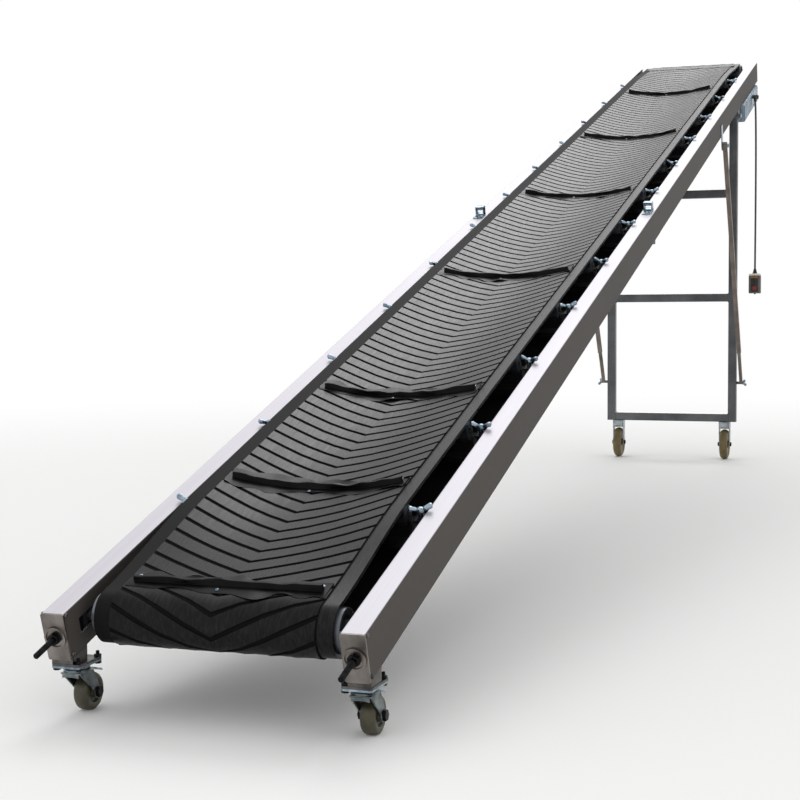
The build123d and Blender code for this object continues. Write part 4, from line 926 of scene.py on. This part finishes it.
def leg_casters():
    """Rigid casters under the leg frame: fork, axle and crowned wheel."""
    legs = [at(hand * REAR_X, LEG_Y, 0) for hand in SIDES.values()]
    back = settle(fork_apron(REAR_INNER, REAR_CROWN - FORK_SHEET / 2, BACK_APRON, 0),
                  at(0, 2 * CROWN_REACH - 0.0005, 0))
    pressed = fork(REAR_INNER, 0, REAR_RADIUS, REAR_CROWN, REAR_APRON)
    forks = settle(gather("rear", pressed + back), *legs)
    axles = settle(gather("axle", axle_ends(REAR_INNER, 0, REAR_RADIUS)), *legs)
    tread = ((0.0085, 0.0218), (0.0165, 0.0218), (0.018, 0.0205), (0.018, 0.0155), (0.05, 0.0135),
             (0.056, 0.0185), (0.059, 0.0198), (0.0625, 0.0195), (0.0665, 0.0175), (0.0703, 0.0138),
             (0.0732, 0.009), (0.0746, 0.0045), (REAR_RADIUS, 0.0012))
    wheels = settle(turned(both_faces(tread), 64),
                    *[place @ at(0, 0, REAR_RADIUS) @ facing(1) for place in legs])
    for side, fork_piece, axle, wheel in zip(SIDES, forks, axles, wheels):
        deliver(f"rigid_fork_{side}", [fork_piece], "leg_frame", FORK_ZINC,
                [f"rear_fork_{side}"])
        deliver(f"leg_axle_{side}", [axle], "leg_frame", BLACK_STEEL, smooth=25)
        deliver(f"leg_tyre_{side}", [wheel], f"rear_wheel_{side}", REAR_TYRE,
                [f"rear_wheel_{side}"])


tail_casters()
plate_bolts()
leg_casters()


# Fold latches, welds and control box; the latches and the box are placed in the rail axes

LATCH_HALF = 0.016
LATCH_SHEET = 0.004
LATCH_HEIGHT = 0.034
LEAF_FROM = 3.074
HOOP_FROM = 3.1104
HOOP_TO = 3.1364
LATCH_SCREWS_AT = 3.088
WELD_X = 0.2857
BOX_FROM = 5.7
BOX_TO = 6.29
BOX_TOP = -0.1
BOX_FLOOR = -0.185
BOX_INNER = 0.303
BOX_FACE = 0.347
LID_OVER = 0.004
LID_SCREWS = (5.716, 5.9, 6.09, 6.274)
FLANGE_SHEET = 0.006
KNOB_AT = (0.3465, 6.23, -0.155)


def latch_loop():
    """Fold latch on a rail's top: leaf with two screws, and a square loop with its sill and cross bolt."""
    leaf = block((-LATCH_HALF, LEAF_FROM, 0), (LATCH_HALF, HOOP_TO, LATCH_SHEET), 0.001)
    top = (LATCH_HALF, HOOP_TO, LATCH_HEIGHT)
    ear = block((LATCH_HALF - LATCH_SHEET, HOOP_FROM, LATCH_SHEET / 2), top, 0.0016)
    ears = settle(ear, Matrix(), at(LATCH_SHEET - 2 * LATCH_HALF, 0, 0))
    roof = block((-LATCH_HALF, HOOP_FROM, LATCH_HEIGHT - LATCH_SHEET), top, 0.0016)
    sill = block((-LATCH_HALF, HOOP_FROM, 0.003), (LATCH_HALF, HOOP_TO, 0.010), 0.0012)
    bolt = turned(((0.0045, -0.0155), (0.0044, 0), (0.0045, 0.0155)), 14)
    bolt = settle(bolt, at(0, (HOOP_FROM + HOOP_TO) / 2, 0.024) @ facing(1))
    screws = settle(pan_head(0.0045, 0.0025), *[at(x, LATCH_SCREWS_AT, LATCH_SHEET) for x in (-0.008, 0.008)])
    return gather("latch", [leaf, roof, sill] + ears + bolt + screws)


def fold_latches():
    """One latch on each rail at the fold."""
    loops = settle(latch_loop(), *[RAIL_AXES @ at(hand * RAIL_MID, 0, 0) for hand in SIDES.values()])
    deliver("latch_loops", loops, "frame", ZINC, ["fold_latches"])


def weld_bead(length):
    """Rippled bead of weld along +Z: a thin rod whose every second ring is swollen."""
    rod = start("cylinder", vertices=8, radius=0.0024, depth=length)
    rings = int(length / 0.004)
    bpy.ops.object.mode_set(mode="EDIT")
    places = [length * (i / rings - 0.5) for i in range(1, rings)]
    for place in places:
        cut((0, 0, place), (0, 0, 1))
    swollen = places[::2]
    pick(rod, "vertices", lambda v: min(abs(v.co.z - place) for place in swollen) < 0.0003)
    bpy.ops.transform.resize(value=(1.3, 1.3, 1), center_override=(0, 0, 0))
    bpy.ops.object.mode_set(mode="OBJECT")
    return rod


def leg_welds():
    """Beads round the ends of the leg frame's cross bars."""
    along_y = Matrix.Rotation(pi / 2, 4, "X")
    places = []
    half = LEG_TUBE / 2
    for bottom in LEG_BARS:
        for hand in SIDES.values():
            x = hand * WELD_X
            for rise in (0, LEG_TUBE):
                places.append(at(x, LEG_Y, bottom + rise) @ along_y)
            for step in (-half, half):
                places.append(at(x, LEG_Y + step, bottom + half))
    deliver("leg_welds", settle(weld_bead(LEG_TUBE), *places), "leg_frame", FRAME_STEEL)


def control_box():
    """Folded sheet control box under the right rail: body, lid with its screws, end flange and knob."""
    body = [block((BOX_INNER, BOX_FROM, BOX_FLOOR), (BOX_FACE - 0.003, BOX_TO, BOX_TOP), 0.002),
            block((BOX_FACE - 0.004, BOX_FROM + LID_OVER, BOX_FLOOR + LID_OVER),
                  (BOX_FACE, BOX_TO - LID_OVER, BOX_TOP - LID_OVER), 0.0012)]
    flange = [block((RAIL_MID - RAIL_WIDTH / 2, BOX_FROM, BOX_FLOOR),
                    (BOX_INNER + 0.0005, BOX_FROM + FLANGE_SHEET, BOX_TOP), 0.001)]
    for group in (body, flange):
        for piece in group:
            piece.data.transform(RAIL_AXES)
    deliver("control_case", body, "frame", BOX_STEEL, ["control_box"])
    deliver("control_flange", flange, "frame", FORK_ZINC)
    spots = [RAIL_AXES @ at(BOX_FACE, along, height) @ facing(1)
             for along in LID_SCREWS for height in (-0.115, -0.17)]
    deliver("lid_screws", settle(pan_head(0.004, 0.0025), *spots), "frame", ZINC)
    grip = turned(((0.0135, 0), (0.0135, 0.002), (0.0105, 0.0026), (0.011, 0.009), (0.0095, 0.0108)), 14)
    pointer = block((-0.0018, -0.0095, 0.0095), (0.0018, 0.0095, 0.0118), 0.0006)
    knob = settle(gather("knob", [grip, pointer]), RAIL_AXES @ at(*KNOB_AT) @ facing(1))
    deliver("box_knob", knob, "frame", GLAND_NYLON, smooth=30)


fold_latches()
leg_welds()
control_box()


# Pendant switch and its cord: the route as in the part's source

ROUTE = ((0.362, 2.767663, 1.830024), (0.370, 2.767663, 1.720024), (0.366, 2.767663, 0.962024))
PENDANT = at(ROUTE[-1][0], ROUTE[-1][1], 0)
SHELL_X = 0.03
SHELL_Y = 0.025
SHELL_FLOOR = 0.834
SHELL_TOP = 0.929
SEAM_PROUD = 0.0003
CAP_SET_IN = 0.001
FRONT = PENDANT @ at(0, -SHELL_Y, 0)
PANEL_HALF = 0.019
START_Z = 0.899
STOP_Z = 0.861


def pendant_switch():
    """Pendant: rounded shell with a proud seam, foot, pale top cap, ridged boot, panel, strip and buttons."""
    shell = [block((-SHELL_X, -SHELL_Y, SHELL_FLOOR), (SHELL_X, SHELL_Y, SHELL_TOP), 0.006),
             block((-SHELL_X - SEAM_PROUD, -0.002, SHELL_FLOOR - SEAM_PROUD),
                   (SHELL_X + SEAM_PROUD, 0.0, SHELL_TOP + SEAM_PROUD), 0.0005)]
    shell = settle(gather("shell", shell), PENDANT)
    foot = turned(((0.005, 0), (0.005, 0.003), (0.0035, 0.0055)), 12)
    foot = settle(foot, PENDANT @ at(0, 0, SHELL_FLOOR + 0.0005) @ DOWN)
    switch = deliver("pendant_case", shell + foot, "frame", PENDANT_PLASTIC,
                     ["pendant_switch"])
    cap_x = SHELL_X - CAP_SET_IN
    cap_y = SHELL_Y - CAP_SET_IN
    cap = block((-cap_x, -cap_y, 0.9245), (cap_x, cap_y, 0.938), 0.005)
    boot = turned(((0.0125, 0.936), (0.012, 0.942), (0.0095, 0.944), (0.0108, 0.946), (0.009, 0.948),
                   (0.0098, 0.950), (0.008, 0.952), (0.0088, 0.954), (0.007, 0.956), (0.0072, 0.962)), 20)
    top = deliver("pendant_top", settle(cap, PENDANT), "frame", PALE_PLASTIC)
    sleeve = deliver("pendant_boot", settle(boot, PENDANT), "frame", GLAND_NYLON)
    panel = settle(block((-PANEL_HALF, -0.0008, 0.842), (PANEL_HALF, 0.001, 0.9135), 0.0006), FRONT)
    collars = settle(turned(((0.0145, 0), (0.0145, 0.0022), (0.013, 0.003), (0.0115, 0.003)), 24),
                     FRONT @ at(0, -0.0006, START_Z) @ TO_TAIL, FRONT @ at(0, -0.0006, STOP_Z) @ TO_TAIL)
    face = deliver("pendant_panel", panel + collars, "frame", GLAND_NYLON)
    strip = settle(block((-0.016, -0.0014, 0.9142), (0.016, 0.001, 0.9222), 0.0005), FRONT)
    amber = deliver("pendant_strip", strip, "frame", AMBER_PLASTIC)
    cap_form = ((0.011, 0), (0.011, 0.0055), (0.0098, 0.007), (0.006, 0.0074))
    press, stop = settle(turned(cap_form, 24),
                         FRONT @ at(0, 0, START_Z) @ TO_TAIL, FRONT @ at(0, 0, STOP_Z) @ TO_TAIL)
    press = deliver("start_cap", [press], "frame", BUTTON_PLASTIC, ["pendant_buttons"])
    stop = deliver("stop_cap", [stop], "frame", RED_PLASTIC)
    return [switch, top, sleeve, face, amber, press, stop]


def pendant_cord(hung):
    """Round cord that hangs from the gland to the pendant switch."""
    line = bpy.data.curves.new("pendant_flex", "CURVE")
    line.dimensions = "3D"
    spline = line.splines.new("NURBS")
    spline.points.add(len(ROUTE) - 1)
    for point, place in zip(spline.points, ROUTE):
        point.co = (*place, 1)
    spline.order_u = 3
    spline.use_endpoint_u = True
    spline.resolution_u = 24
    line.bevel_depth = CORD_DIAMETER / 2
    line.bevel_resolution = 4
    line.use_fill_caps = True
    line.materials.append(CORD_PVC)
    cord = bpy.data.objects.new("pendant_flex", line)
    scene.collection.objects.link(cord)
    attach(cord, "frame")
    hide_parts("pendant_cord")


pendant_cord(pendant_switch())

# Finishes of the CAD nodes that stay
NODE_FINISHES = {
    RAIL_STEEL: [f"rail_{side}_{half}" for side in SIDES for half in ("tail", "head")],
    CAP_STEEL: [f"end_cap_{side}" for side in SIDES],
    POST_STEEL: [f"tail_post_{side}" for side in SIDES],
    ZINC: [f"{name}_{side}" for side in SIDES for name in ("caster_plate", "brace_lug")],
    FRAME_STEEL: [f"{name}_{side}" for side in SIDES for name in ("leg_post", "leg_bracket")]
                 + ["leg_bar_bottom", "leg_bar_middle", "leg_bar_upper", "splice_hinges"],
    BRACE_STEEL: [f"{name}_{side}" for side in SIDES for name in ("brace_tube", "brace_rod")],
    ROLLER_STEEL: ["tail_drum", "head_drum", "idler_rollers", "return_rollers"],
    BRACKET_STEEL: ["idler_brackets", "return_plates", "tail_bearings", "head_bearings"],
    GLAND_NYLON: ["cord_gland"],
}
for material, names in NODE_FINISHES.items():
    for name in names:
        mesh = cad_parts[name].data
        mesh.materials.clear()
        mesh.materials.append(material)
